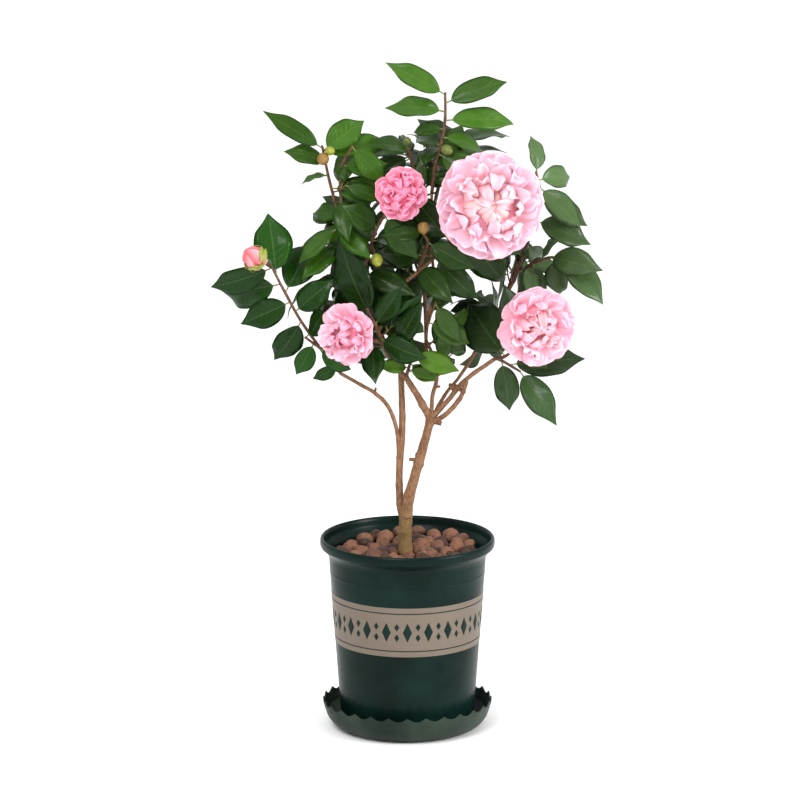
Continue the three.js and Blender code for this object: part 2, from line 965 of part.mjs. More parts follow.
// One leaf of a shoot, turned about the twig and lifted by the given degrees.
function leafOnShoot(path, t, face, open, roll, size, broad, jitter, turn, lift) {
  const side = Math.sign(open);
  const heading = path.heading(t);
  const across = new THREE.Vector3().crossVectors(heading, face).normalize().multiplyScalar(side);
  across.applyAxisAngle(heading, THREE.MathUtils.degToRad(side * (turn + jitter[0] * JITTER.turn)));
  const angle = THREE.MathUtils.degToRad(Math.abs(open) + lift + jitter[1] * JITTER.open);
  const along = heading.clone().multiplyScalar(Math.cos(angle)).addScaledVector(across, Math.sin(angle));
  const blade = face.clone().addScaledVector(along, -face.dot(along));
  if (blade.length() < 0.35) blade.addScaledVector(heading, 0.6 * side).projectOnPlane(along);
  const rolled = side * SIDE_ROLL + jitter[2] * JITTER.roll + roll;
  blade.normalize().applyAxisAngle(along, THREE.MathUtils.degToRad(rolled));
  return {
    root: path.at(t),
    along,
    face: blade,
    length: size * (0.96 + 0.09 * jitter[3]),
    width: LEAF.width * broad * (1 + 0.08 * jitter[4]),
    arch: LEAF.arch * (1 + 0.5 * jitter[5]),
    thickness: LEAF.thickness,
    stalk: 0.9,
  };
}

function growShootLeaves(crown, owner, shoot, size, seed) {
  const { path, plan } = shoot;
  const draw = seededNumbers(seed);
  const face = shootFace(path, plan);
  const angles = leafAngles(plan);
  const leaves = [];
  angles.forEach((entry, node) => {
    const [open, lengthShare = 1, roll = 0, broad = 1] = [entry].flat();
    const jitter = Array.from({ length: 6 }, () => 2 * draw() - 1);
    const share = angles.length > 1 ? node / (angles.length - 1) : 1;
    const climb = 1 - (1 - share) ** (plan.crowd ?? 1);
    const t = plan.first + (0.98 - plan.first) * climb;
    let placed = null;
    for (const shrink of [1, 0.84, 0.7]) {
      for (const [turn, lift] of LEAF_TRIES) {
        if (placed) break;
        const length = size * lengthShare * shrink;
        const leaf = leafOnShoot(path, t, face, open, roll, length, broad, jitter, turn, lift);
        const outer = bladePoints(leaf, ROOM.ownFrom);
        const whole = bladePoints(leaf, LEAF.petiole);
        if (!crown.isFree(outer, ROOM.own, owner, true)) continue;
        if (crown.isFree(whole, ROOM.others, owner, false)) placed = leaf;
      }
    }
    if (placed) {
      crown.add(bladePoints(placed, LEAF.petiole), 0, owner);
      leaves.push(placed);
    }
  });
  return leaves;
}

function planShoots(spray, limbs) {
  const limb = limbs[spray.limb];
  const shoots = [];
  for (const plan of spray.shoots) {
    const start = shoots.length ? shoots[0].path.at(plan.at) : limb.path.at(spray.at);
    shoots.push({ plan, path: pathThrough([start, ...plan.through.map(vec)]) });
  }
  return shoots;
}

// A bud sits on a short stalk that leaves the spray's nearest shoot.
function budParts(bud, shoots) {
  const centre = vec(bud.at);
  let nearest = shoots[0].path.at(1);
  for (const { path } of shoots) {
    for (const point of spaced(path, 2)) {
      if (point.distanceTo(centre) < nearest.distanceTo(centre)) nearest = point;
    }
  }
  const facing = bud.facing ? vec(bud.facing).normalize() : centre.clone().sub(nearest).normalize();
  const stalk = pathThrough([nearest, centre]);
  return { egg: { centre, facing, radius: bud.radius }, stalk };
}

function growSprays(limbs, rooms) {
  const crown = new Crown();
  for (const { path, radiusAt } of Object.values(limbs)) crown.add(spaced(path, 3), radiusAt(0.5), "limb");
  const sprays = SPRAYS.map((spray) => {
    const shoots = planShoots(spray, limbs);
    const buds = (spray.buds ?? []).map((bud) => budParts(bud, shoots));
    const bloom = spray.bloom && {
      ...spray.bloom,
      centre: vec(spray.bloom.centre),
      facing: vec(spray.bloom.facing).normalize(),
    };
    for (const { path } of shoots) crown.add(spaced(path, 3), TWIG.foot, spray.name);
    for (const { egg } of buds) crown.add([egg.centre], 0.6 * egg.radius, spray.name);
    if (bloom) crown.add(bloomPoints(bloom), 0.38 * bloom.radius, spray.name);
    return { spray, shoots, buds, bloom };
  });
  return sprays.map(({ spray, shoots, buds, bloom }, index) => {
    const parts = [];
    shoots.forEach((shoot, order) => {
      parts.push(solidFrom(limbGeometry(shoot.path, twigRadius, 4, 2 * shoot.plan.through.length)));
      const size = shoot.plan.leaf ?? spray.leaf;
      const leaves = growShootLeaves(crown, spray.name, shoot, size, 101 + 17 * index + order);
      leaves.forEach((leaf) => parts.push(leafSolid(leaf)));
    });
    for (const { egg, stalk } of buds) {
      parts.push(budSolid(egg));
      parts.push(solidFrom(limbGeometry(stalk, () => TWIG.tip, 4, 1)));
    }
    if (bloom) {
      const tip = shoots[bloom.shoot ?? 0].path.at(1);
      parts.push(bloomSolid(bloom));
      parts.push(solidFrom(limbGeometry(pathThrough([tip, bloom.centre]), () => 2, 4, 1)));
    }
    const grown = join(parts);
    const solid = wholeBody(rooms.reduce((left, room) => left.subtract(room), grown));
    return { name: spray.name, solid };
  });
}

// ------------------------------------------------------------- the whole plant

const group = new THREE.Group();

function addPart(name, solid, colour, roughness) {
  const material = new THREE.MeshStandardMaterial({ color: colour, roughness, metalness: 0 });
  const mesh = new THREE.Mesh(geometryFrom(solid), material);
  mesh.name = name;
  group.add(mesh);
}

const { limbs, rooms } = growLimbs();
addPart("saucer", saucerSolid(), COLOURS.saucer, 0.5);
addPart("pot", potSolid(), COLOURS.pot, 0.45);
addPart("potting_bed", bedSolid(rooms[0]), COLOURS.bed, 0.9);
for (const [name, limb] of Object.entries(limbs)) addPart(name, limb.solid, COLOURS.bark, 0.85);
for (const spray of growSprays(limbs, rooms)) addPart(spray.name, spray.solid, COLOURS.leaf, 0.4);

export default group;
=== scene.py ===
"""A young camellia in a nursery pot with its saucer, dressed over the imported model.

Shapes are worked out in millimetres, +Z up, and put into meshes in metres. -Y is the front.
"""

import json
import math

import bpy
import numpy as np
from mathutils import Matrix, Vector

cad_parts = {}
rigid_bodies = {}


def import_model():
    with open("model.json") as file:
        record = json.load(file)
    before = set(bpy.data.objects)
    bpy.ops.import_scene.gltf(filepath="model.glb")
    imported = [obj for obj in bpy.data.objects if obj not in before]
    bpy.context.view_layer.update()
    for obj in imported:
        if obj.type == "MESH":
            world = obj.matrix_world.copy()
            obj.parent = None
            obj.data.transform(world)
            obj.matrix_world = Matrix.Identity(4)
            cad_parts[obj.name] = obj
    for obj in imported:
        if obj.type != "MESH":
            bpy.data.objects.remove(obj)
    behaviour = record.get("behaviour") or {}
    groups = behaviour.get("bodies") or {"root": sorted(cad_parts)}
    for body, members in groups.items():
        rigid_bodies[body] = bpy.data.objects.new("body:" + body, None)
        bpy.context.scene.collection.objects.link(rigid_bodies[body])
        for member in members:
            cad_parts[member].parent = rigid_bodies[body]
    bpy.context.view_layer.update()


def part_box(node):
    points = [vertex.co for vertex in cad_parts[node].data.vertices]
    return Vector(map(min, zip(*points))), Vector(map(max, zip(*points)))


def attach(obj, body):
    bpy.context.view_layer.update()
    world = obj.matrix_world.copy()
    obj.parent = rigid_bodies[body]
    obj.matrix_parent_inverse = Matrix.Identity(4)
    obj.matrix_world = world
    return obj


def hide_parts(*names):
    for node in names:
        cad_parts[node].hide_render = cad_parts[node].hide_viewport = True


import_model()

MM = 0.001
TAU = 2 * math.pi
GOLDEN_ANGLE = math.pi * (3 - math.sqrt(5))

# Each kind of random run: its first seed and the step from one owner's seed to the next.
SEEDS = dict(
    rule=(101, 17), finer_twigs=(5003, 29), bark=(911, 13), leaf_looks=(7001, 31),
    petals=(3301, 41), buds=(8101, 23), ball_places=(41, 0), ball_shapes=(77, 0),
)

# ------------------------------------------------------------------ driving sizes

SAUCER = dict(foot=62.0, rim=84.5, height=25.5, tooth=4.0, teeth=28, wall=1.6, floor=3.0)
POT = dict(foot=66.0, shoulder=78.5, shoulder_height=174.5, lip=87.5, top=195.5, wall=2.2, bottom=3.3)
BAND = dict(low=90.0, high=141.0, proud=0.25, lozenges=22, line_in=6.0)
POT_SIDES = 160
BED = dict(top=178.0, ball=8.4, balls=40, mound=5.0)

# The growth rule's leaf: width as a share of its length, where the blade starts, and in radians
# how far each half folds up and how far the midrib arches.
LEAF = dict(width=0.46, petiole=0.1, fold=0.3, arch=0.55)
BLADE_PEAK = 0.3595

# What the fine leaf adds: a wider blade with a narrower tip, the reach of its curl, teeth, waves
# and twist, and half the thickness of its margin, of its blade, its stalk and the rib at its back.
FINE_LEAF = dict(wider=1.06, narrow_tip=0.45, curl=0.75, teeth=0.008, wave=0.085, twist=0.25, margin=0.02)
LEAF_THICK = dict(blade=0.27, stalk=0.68, ridge=0.5)
LEAF_VEINS = 9.0
LEAF_PIECE_POINTS = 70000

# Half the thickness of a petal, and the flattened dome that petals reach: its depth in front and
# behind, and how far back they are seated, as shares of the radius.
PETAL_THICK = dict(rim=0.12, foot=0.3, edge=0.04)
DOME = dict(front=0.66, back=0.4, seat=0.3)

# Room that a leaf keeps from its own spray, past this share of its length, and from the others.
ROOM = dict(own=4.6, own_from=0.28, others=3.0)
CROWN_ROOM = 80000
WIDEST_BALL = 12
JITTER = dict(turn=14.0, open=5.0, roll=14.0)
SIDE_ROLL = 16.0
TWIG = dict(foot=1.8, tip=1.25)
NODE_PITCH = 26
HEART = np.array([0.0, 25.0, 470.0])

# Where a leaf has no room it is turned about the twig and lifted by these degrees in turn.
LEAF_TRIES = (
    (0, 0), (15, 0), (-15, 0), (30, -8), (-30, 8), (45, 8), (-45, -8), (62, 12), (-62, -12),
    (85, 0), (-85, 0), (40, -28), (-40, -28), (70, -30), (-70, -30), (110, -35), (-110, -35),
)

# First and last angle of the leaves on the shoots that only count them, at the back of the crown.
BACK_SPREAD = (88, 40)

# Every limb grows from a place on an earlier one. Radii are at its foot and its tip,
# flare adds a root flare at the foot and knot a swelling at the tip.
LIMBS = [
    dict(
        name="trunk", start=[-1.8, 0, BED["top"] + 0.3], through=[[-2.4, 0, 198], [-1.6, 0, 216]],
        radii=[6.6, 6.5], flare=1.4,
    ),
    dict(
        name="right_stem", parent="trunk", at=1,
        through=[[2.5, 0, 239], [11, 0, 271], [16.5, 0, 290], [24, 0, 318]], radii=[5.6, 4.2], knot=1.6,
    ),
    dict(
        name="left_stem", parent="trunk", at=0.82,
        through=[[-7, 3, 226], [-8, 5, 262], [-5.2, 6, 305], [-6.4, 7, 360]], radii=[4, 3.1],
    ),
    dict(
        name="left_side_bough", parent="left_stem", at=0.5,
        through=[[-10, 2, 300], [-18, -2, 327], [-31, -6, 343], [-48, -9, 354], [-66, -11, 365]],
        radii=[2.2, 1.7],
    ),
    dict(
        name="middle_bough", parent="right_stem", at=0.98,
        through=[[12, -2, 337], [5, -4, 349], [-2, -5, 361]], radii=[3.5, 2.9],
    ),
    dict(
        name="upper_left_bough", parent="middle_bough", at=0.94,
        through=[[-12, -4, 371], [-24, 0, 392], [-36, 3, 428], [-46, 2, 466]], radii=[2.6, 1.7],
    ),
    dict(
        name="leader", parent="right_stem", at=0.99,
        through=[[25, -1, 340], [29, -2, 361], [19, -2, 386], [20, -1, 420], [27, 0, 446], [23, 3, 500],
            [24, 2, 545]],
        radii=[2.1, 1.4],
    ),
    dict(
        name="cross_bough", parent="upper_left_bough", at=0.6,
        through=[[-10, -2, 446], [8, -8, 466], [24, -10, 480]], radii=[1.8, 1.5],
    ),
    dict(
        name="right_bough", parent="right_stem", at=0.99,
        through=[[38, -2, 333], [58, -4, 357], [86, -8, 379]], radii=[2.8, 2],
    ),
    dict(
        name="right_fork_bough", parent="right_stem", at=0.95,
        through=[[38, -6, 322], [52, -8, 339], [59, -4.5, 356]], radii=[2.6, 2.1],
    ),
    dict(
        name="right_thin_bough", parent="right_stem", at=0.97,
        through=[[38, 7, 340], [55, 9, 362], [80, 16, 404], [106, 20, 452]], radii=[1.8, 1.4],
    ),
]

# Each spray springs from a limb. Its shoots are curves through a few places; the first
# is the spray's own stem and the others spring from it. A shoot's leaves are given as
# their angles from the twig, to the right (+) or left (-), each alone or with its share
# of the full length, a roll about its own midrib and its share of the usual width. Given
# as a plain count, they alternate and close up from the first back angle to the last.
# crowd gathers a shoot's leaves toward its tip.
SPRAYS = [
    dict(
        name="top_spray", limb="leader", at=1, leaf=76, buds=[dict(at=[39, -12, 591], radius=5.5)],
        shoots=[dict(
            through=[[27, -3, 571], [33, -6, 596], [37, -8, 622], [37, -8, 648]], first=0.4,
            face=[0, -0.6, 0.8],
            opens=[
                [96, 0.85], [-88, 0.6], [100, 0.66], [-104, 0.5], [76, 1.1, 0, 0.75], [-76, 0.87, 0, 0.85],
                [66, 0.95, 0, 0.8], [-61, 1, 0, 0.75],
            ],
        )],
    ),
    dict(
        name="large_bloom_spray", limb="cross_bough", at=1, leaf=68,
        bloom=dict(centre=[80, -68, 547], facing=[0.08, -0.95, 0.2], radius=53),
        shoots=[dict(
            through=[[45, -28, 506], [62, -44, 532], [72, -52, 544]], first=0.05, face=[0, -0.9, 0.35],
            opens=[[80, 1.05], -80, [122, 1.25], [-50, 0.8], [120, 1.1]],
        )],
    ),
    dict(
        name="centre_spray", limb="cross_bough", at=0.72, leaf=62,
        buds=[dict(at=[15.6, -54, 522], radius=6)],
        shoots=[dict(
            through=[[15, -18, 484], [20, -32, 502], [15, -46, 516]], first=0.1, face=[0, -0.9, 0.35],
            opens=[[82, 0.95], [-128, 1.05], [100, 0.95], [-40, 0.8, 0, 0.7]],
        )],
    ),
    dict(
        name="low_centre_spray", limb="middle_bough", at=0.97, leaf=50,
        shoots=[dict(
            through=[[2, -14, 374], [6, -24, 388]], first=0.4, face=[0, -0.8, 0.5],
            opens=[[-75, 0.7], [95, 0.7], -70, [84, 1.1]],
        )],
    ),
    dict(
        name="centre_left_spray", limb="upper_left_bough", at=0.2, leaf=74,
        bloom=dict(centre=[-60.5, -64, 417], facing=[-0.42, -0.88, 0.02], radius=31, shoot=1),
        shoots=[dict(
            through=[[-24, -14, 396], [-31, -24, 416], [-40, -30, 436]], first=0.15, face=[-0.1, -0.95, 0.2],
            opens=[
                [135, 0.65], [-60, 0.6], [105, 0.8], [-75, 0.7], [38, 0.75], [-6, 1.15, 0, 1.1], [14, 0.8],
            ],
        ), dict(
            at=0.35, through=[[-40, -36, 406], [-52, -52, 413]], first=0.3,
            opens=[[-80, 0.62], [80, 0.62]],
        )],
    ),
    dict(
        name="left_spray", limb="left_side_bough", at=1, leaf=74,
        buds=[dict(at=[-149, -66, 494], radius=13, facing=[-0.8, -0.5, 0.35])],
        shoots=[dict(
            through=[[-84, -20, 390], [-105, -36, 424], [-121, -46, 456], [-134, -54, 484]], first=0.5,
            face=[-0.1, -0.9, 0.3],
            opens=[
                [-124, 0.75, 0, 1.15], [74, 0.75, 0, 1.2], [-82, 0.8, 0, 1.2], [80, 1.08, 0, 1.1],
                [-88, 1.25], [19, 0.95, 0, 1.22], [-98, 1, 0, 0.8],
            ],
        ), dict(
            at=0.28, through=[[-86, -34, 396], [-101, -46, 410]], first=0.3, leaf=62, face=[0, -0.95, 0.2],
            opens=[[-110, 0.9, 0, 1.2], [150, 0.7], [-94, 0.6, 0, 1.2], [120, 0.8]],
        ), dict(
            at=0.06, through=[[-68, -22, 376], [-64, -32, 392]], first=0.4, leaf=50, face=[0, -0.95, 0.2],
            opens=[[-128, 0.6], [168, 1]],
        )],
    ),
    dict(
        name="upper_left_spray", limb="upper_left_bough", at=1, leaf=72,
        buds=[dict(at=[-83, -31, 586], radius=6.2), dict(at=[-76, -30, 594], radius=4.5)],
        shoots=[dict(
            through=[[-59, -9, 504], [-74, -18, 550], [-84, -24, 598]], first=0.32, crowd=1.8,
            face=[0, -0.65, 0.75],
            opens=[
                [-60, 0.5], 125, [100, 0.8], [108, 0.8], [-75, 0.42, 40], [-46, 0.65], [90, 1.2, 0, 0.6],
                [66, 0.7, 0, 1.15], [-43, 0.98, 0, 0.62],
            ],
        ), dict(
            at=0.42, through=[[-66, -26, 570], [-54, -34, 600]], first=0.25, leaf=58, face=[0, -0.9, 0.4],
            opens=[[118, 0.9], [-50, 0.6], [75, 0.8], [150, 0.8], [112, 0.95]],
        )],
    ),
    dict(
        name="middle_bloom_spray", limb="upper_left_bough", at=0.95, leaf=60,
        buds=[dict(at=[-30, -34, 485], radius=6)],
        bloom=dict(centre=[-6, -56, 557], facing=[0.05, -0.95, 0.25], radius=26.5),
        shoots=[dict(
            through=[[-38, -10, 490], [-28, -28, 520], [-14, -44, 545]], first=0.08, face=[0, -0.8, 0.5],
            opens=[[92, 0.95], [-100, 0.6], 70, -58, 100, -80],
        )],
    ),
    dict(
        name="middle_top_spray", limb="leader", at=0.84, leaf=58, buds=[dict(at=[0, 14, 595], radius=4)],
        shoots=[dict(
            through=[[12, 8, 543], [6, 12, 566], [1, 14, 588]], first=0.3, face=[0, -0.6, 0.8],
            opens=[-80, 75, -95, 95, -95, -70],
        )],
    ),
    dict(
        name="right_upper_spray", limb="right_thin_bough", at=1, leaf=70,
        shoots=[dict(
            through=[[114, 16, 478], [126, 12, 512], [131, 8, 545], [127, 6, 566]], first=0.25,
            face=[0.1, -0.75, 0.6],
            opens=[
                [-70, 0.8], [150, 0.85], -70, [88, 0.9], -70, [114, 0.85], [150, 0.8], [104, 0.66],
                [22, 0.6],
            ],
        ), dict(
            at=0.1, through=[[124, 10, 472], [140, 2, 480], [153, -4, 480]], first=0.2,
            face=[0.1, -0.75, 0.6],
            opens=[[-60, 0.7], [95, 0.8], [-40, 0.6], [14, 1.05], [112, 0.75], [28, 1.05]],
        )],
    ),
    dict(
        name="right_lower_spray", limb="right_bough", at=1, leaf=72,
        bloom=dict(centre=[127.6, -60, 424], facing=[0.25, -0.93, 0.08], radius=39.5),
        shoots=[dict(
            through=[[98, -22, 386], [112, -38, 403], [121, -46, 416]], first=0.3, face=[0, -0.85, 0.4],
            opens=[[-114, 1.15, 0, 1.15], [60, 0.6], [-55, 0.8], [30, 0.9]],
        ), dict(
            at=0.08, through=[[97, -14, 377], [112, -24, 370]], first=0.3, face=[0.1, -0.85, 0.4],
            opens=[[48, 0.74], [-36, 1.16], [18, 1.02, 0, 0.9]],
        )],
    ),
    dict(
        name="centre_right_spray", limb="leader", at=0.28, leaf=64,
        shoots=[dict(
            through=[[24, -11, 386], [18, -16, 404], [22, -21, 424], [28, -25, 440]], first=0.1,
            face=[0, -0.7, 0.7],
            opens=[[100, 0.6], [-92, 0.8], [120, 1.15], [-60, 0.5], [92, 0.8], [-50, 0.6], [112, 0.7]],
        )],
    ),
    dict(
        name="back_top_spray", limb="leader", at=0.9, leaf=64,
        shoots=[dict(through=[[32, 26, 550], [44, 52, 568], [50, 72, 582]], leaves=8, first=0.25)],
    ),
    dict(
        name="back_left_spray", limb="upper_left_bough", at=0.88, leaf=62,
        shoots=[dict(
            through=[[-44, 34, 468], [-46, 62, 482], [-42, 84, 504]], leaves=8, first=0.25,
        ), dict(
            at=0.3, through=[[-62, 46, 452], [-84, 58, 448]], leaves=5, first=0.3,
        )],
    ),
    dict(
        name="back_centre_spray", limb="leader", at=0.5, leaf=62,
        shoots=[dict(through=[[16, 32, 446], [8, 60, 462], [4, 84, 486]], leaves=8, first=0.25)],
    ),
    dict(
        name="back_right_spray", limb="right_thin_bough", at=0.92, leaf=62,
        shoots=[dict(through=[[108, 48, 462], [112, 76, 478], [108, 96, 498]], leaves=8, first=0.25)],
    ),
    dict(
        name="back_low_left_spray", limb="left_stem", at=1, leaf=58,
        shoots=[dict(through=[[-18, 30, 384], [-40, 56, 402], [-58, 74, 420]], leaves=7, first=0.3)],
    ),
    dict(
        name="back_low_right_spray", limb="right_thin_bough", at=0.45, leaf=58,
        shoots=[dict(through=[[76, 34, 388], [86, 58, 400], [90, 78, 416]], leaves=7, first=0.3)],
    ),
]

# ------------------------------------------------------------------ small foundations


def srgb(red, green, blue):
    """A colour from 0..255 values as linear light."""
    parts = np.array([red, green, blue]) / 255.0
    return np.where(parts <= 0.04045, parts / 12.92, ((parts + 0.055) / 1.055) ** 2.4)


# Finer growth that the source leaves out: short twigs in each spray, and more clay balls.
FINE = dict(leaf=0.72, twig=20.0, every=18.0, margin=3.0, room=2.6, within=115.0, front=-22.0, balls=64)
RING = dict(height=160.7, proud=0.35)
BALL_FLATNESS = 0.86

# Balls keep this far from the stem's axis beyond their own radius, and buds larger than this open.
STEM_ROOM = 8.0
OPENING_BUD_FROM = 10

# Stubs left where shoots were cut away: limb, place on it, direction, length and radius.
PRUNED_STUBS = (
    ("right_stem", 0.52, (-0.9, -0.3, 0.25), 5.5, 1.6),
    ("right_bough", 0.5, (-0.5, -0.4, 0.8), 7.0, 1.7),
    ("right_bough", 0.56, (-0.9, -0.2, 0.3), 8.0, 1.6),
    ("right_bough", 0.55, (0.8, -0.3, -0.5), 6.5, 1.7),
    ("right_stem", 0.97, (0.9, -0.3, -0.2), 6.0, 2.4),
    ("left_stem", 0.32, (0.9, -0.4, 0.2), 3.2, 1.8),
    ("left_stem", 0.72, (-0.9, -0.4, 0.3), 3.0, 1.5),
    ("left_side_bough", 0.62, (0.2, -0.3, 0.9), 4.0, 1.0),
    ("leader", 0.2, (0.9, -0.3, 0.3), 4.0, 1.1),
)

# Leaf colours by spray, with painted light and shade in them: brighter where the crown meets the light,
# deeper where its heart lies in shade.
SPRAY_TONES_WITH_PAINTED_LIGHT = {
    "top_spray": (55, 90, 24),
    "upper_left_spray": (50, 86, 16),
    "left_spray": (22, 60, 6),
    "centre_left_spray": (22, 52, 10),
    "middle_bloom_spray": (34, 60, 14),
    "middle_top_spray": (38, 66, 18),
    "large_bloom_spray": (34, 58, 19),
    "centre_spray": (32, 56, 14),
    "low_centre_spray": (64, 96, 24),
    "centre_right_spray": (58, 86, 34),
    "right_upper_spray": (72, 96, 56),
    "right_lower_spray": (48, 70, 38),
}
BACK_TONE = (33, 56, 17)

# Scale colours of the closed buds, dealt out bud by bud from a start that depends on the spray.
BUD_TONES = ((90, 110, 36), (118, 128, 34), (138, 100, 38), (142, 152, 30))

# Petal rings from outside in, and the heart petals: count, tilt from the facing, width as a share
# of the radius, cup, ruffle, roll. curl is the angle that the inmost petals bend in over the heart,
# and bent_share how far those turn to the deep colour. warm is the colour of the heart, foot the
# colour at a petal's foot, partly the petal's own deeper base and partly painted shade deep in the
# flower, deep the colour along its rim and veins, and deepness how much of both shows.
BLOOM_LOOKS = {
    "large_bloom_spray": dict(
        colour=srgb(253, 212, 228), warm=srgb(252, 216, 194), deep=srgb(244, 150, 178), deepness=0.5,
        foot=srgb(250, 204, 172),
        heart_petals=(48, 68, 0.46, 0.15, 0.045, 0.6), curl=24, bent_share=0.4, rings=(
            (7, 99, 1.0, 0.1, 0.02, 0.1), (8, 88, 0.86, 0.2, 0.03, 0.15), (8, 76, 0.7, 0.2, 0.045, 0.3),
        ),
    ),
    "middle_bloom_spray": dict(
        colour=srgb(252, 172, 200), warm=srgb(246, 150, 180), deep=srgb(222, 62, 104), deepness=0.85,
        foot=srgb(214, 60, 100),
        heart_petals=(34, 64, 0.48, 0.3, 0.045, 0.5), curl=32, bent_share=0.25, rings=(
            (6, 94, 1.0, 0.3, 0.02, 0.1), (6, 78, 0.9, 0.35, 0.03, 0.15),
        ),
    ),
    "centre_left_spray": dict(
        colour=srgb(254, 214, 230), warm=srgb(250, 196, 212), deep=srgb(230, 84, 126), deepness=0.65,
        foot=srgb(228, 84, 122),
        heart_petals=(32, 66, 0.47, 0.2, 0.05, 0.6), curl=24, bent_share=0.4, rings=(
            (7, 97, 0.92, 0.15, 0.03, 0.1), (7, 82, 0.8, 0.25, 0.04, 0.25),
        ),
    ),
    "right_lower_spray": dict(
        colour=srgb(254, 212, 228), warm=srgb(252, 204, 200), deep=srgb(240, 124, 150), deepness=0.6,
        foot=srgb(244, 140, 148),
        heart_petals=(40, 66, 0.45, 0.15, 0.05, 0.6), curl=24, bent_share=0.4, rings=(
            (7, 98, 0.98, 0.12, 0.02, 0.1), (8, 84, 0.8, 0.2, 0.035, 0.2),
        ),
    ),
}


def unit(vectors):
    """Each vector divided by its own length."""
    return vectors / np.maximum(np.linalg.norm(vectors, axis=-1, keepdims=True), 1e-12)


def spun(vector, axis, angle):
    """A vector turned about a unit axis: v cos a + (axis x v) sin a + axis (axis . v)(1 - cos a)."""
    cosine, sine = math.cos(angle), math.sin(angle)
    return vector * cosine + np.cross(axis, vector) * sine + axis * np.dot(axis, vector) * (1 - cosine)


def seeded(kind, owner=0, order=0):
    """The same run of numbers from 0 to 1 for the same seed, as the growth rule uses."""
    first, step = SEEDS[kind]
    state = first + step * owner + order

    def draw():
        """The next number: state = 1664525 state + 1013904223 modulo 2^32, over 2^32."""
        nonlocal state
        state = (1664525 * state + 1013904223) % 2**32
        return state / 2**32

    return draw


def smooth(low, high, x):
    """0 below low, 1 above high and a smooth S-curve between."""
    t = np.clip((x - low) / (high - low), 0.0, 1.0)
    return t * t * (3 - 2 * t)


class Path:
    """A smooth curve through a few places, with t from 0 at its foot to 1 at its tip."""

    def __init__(self, points):
        """Adds a place beyond each end, the mirror of its neighbour through that end."""
        inner = np.array(points, float)
        before = 2 * inner[0] - inner[1]
        after = 2 * inner[-1] - inner[-2]
        self.points = np.vstack([before, inner, after])
        self.spans = len(inner) - 1
        steps = self.at(np.linspace(0, 1, 201))
        self.length = np.linalg.norm(np.diff(steps, axis=0), axis=1).sum()

    def at(self, t):
        """Cubic through four neighbours: a + b w + c w^2 + d w^3 with tangents half their chord."""
        place = np.atleast_1d(np.asarray(t, float)) * self.spans
        span = np.minimum(np.floor(place).astype(int), self.spans - 1)
        w = (place - span)[:, None]
        p0, p1, p2, p3 = (self.points[span + i] for i in range(4))
        enter, leave = 0.5 * (p2 - p0), 0.5 * (p3 - p1)
        cubic = p1 + enter * w + (3 * p2 - 3 * p1 - 2 * enter - leave) * w**2
        cubic += (2 * p1 - 2 * p2 + enter + leave) * w**3
        return cubic if np.ndim(t) else cubic[0]

    def heading(self, t):
        """The unit direction of travel, from two places just before and after."""
        t = np.asarray(t, float)
        return unit(self.at(np.clip(t + 1e-4, 0, 1)) - self.at(np.clip(t - 1e-4, 0, 1)))

    def spaced(self, step):
        """Places at equal steps of t, on average no further apart than the given step."""
        count = math.ceil(self.length / step)
        return self.at(np.arange(count + 1) / count)


def linked(name, data):
    """A new object of that name in the scene."""
    thing = bpy.data.objects.new(name, data)
    bpy.context.scene.collection.objects.link(thing)
    return thing


class Pile:
    """Closed skins gathered into one mesh, each point with a place (along, across, side) and a tint."""

    def __init__(self, *skins):
        """Starts with these skins."""
        self.points, self.quads, self.tris, self.places, self.tints = [], [], [], [], []
        self.count = 0
        for skin in skins:
            self.add(*skin)

    def add(self, points, quads, tris, places, tint=(1, 1, 1)):
        """Take up one closed skin, its faces counted on from the points that are here already."""
        self.points.append(points)
        self.quads.append(quads + self.count)
        self.tris.append(tris + self.count)
        self.places.append(places)
        self.tints.append(np.broadcast_to(np.asarray(tint, float), points.shape))
        self.count += len(points)

    def make(self, name, material, slot, *nodes):
        """Put the gathered skins into a mesh object that rides on the plant's body."""
        quads, tris = np.vstack(self.quads), np.vstack(self.tris)
        corners = np.concatenate([quads.ravel(), tris.ravel()]).astype(np.int32)
        starts = np.concatenate([np.arange(len(quads)) * 4, len(quads) * 4 + np.arange(len(tris)) * 3])
        mesh = bpy.data.meshes.new(name)
        mesh.vertices.add(self.count)
        mesh.vertices.foreach_set("co", (np.vstack(self.points) * MM).astype(np.float32).ravel())
        mesh.loops.add(len(corners))
        mesh.loops.foreach_set("vertex_index", corners)
        mesh.polygons.add(len(starts))
        mesh.polygons.foreach_set("loop_start", starts.astype(np.int32))
        mesh.polygons.foreach_set("use_smooth", np.ones(len(starts), bool))
        mesh.update(calc_edges=True)
        for label, rows in (("place", self.places), ("tint", self.tints)):
            layer = mesh.attributes.new(label, "FLOAT_VECTOR", "POINT")
            layer.data.foreach_set("vector", np.vstack(rows).astype(np.float32).ravel())
        mesh.materials.append(material)
        piece = linked(name, mesh)
        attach(piece, "root")
        if nodes:
            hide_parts(*nodes)


def closed_skin(rings, count):
    """Faces over rings of points between a first and a last pole: quads between rings, fans at the poles.

    The points run: first pole, ring 0, ring 1 ... , last pole.
    """
    side = np.arange(count)
    after = (side + 1) % count
    low = 1 + np.arange(rings - 1)[:, None] * count
    quads = np.stack([low + side, low + after, low + count + after, low + count + side], axis=-1)
    last = 1 + rings * count
    top = last - count
    start_fan = np.stack([np.zeros(count, int), 1 + after, 1 + side], axis=-1)
    end_fan = np.stack([np.full(count, last), top + side, top + after], axis=-1)
    return quads.reshape(-1, 4), np.vstack([start_fan, end_fan])


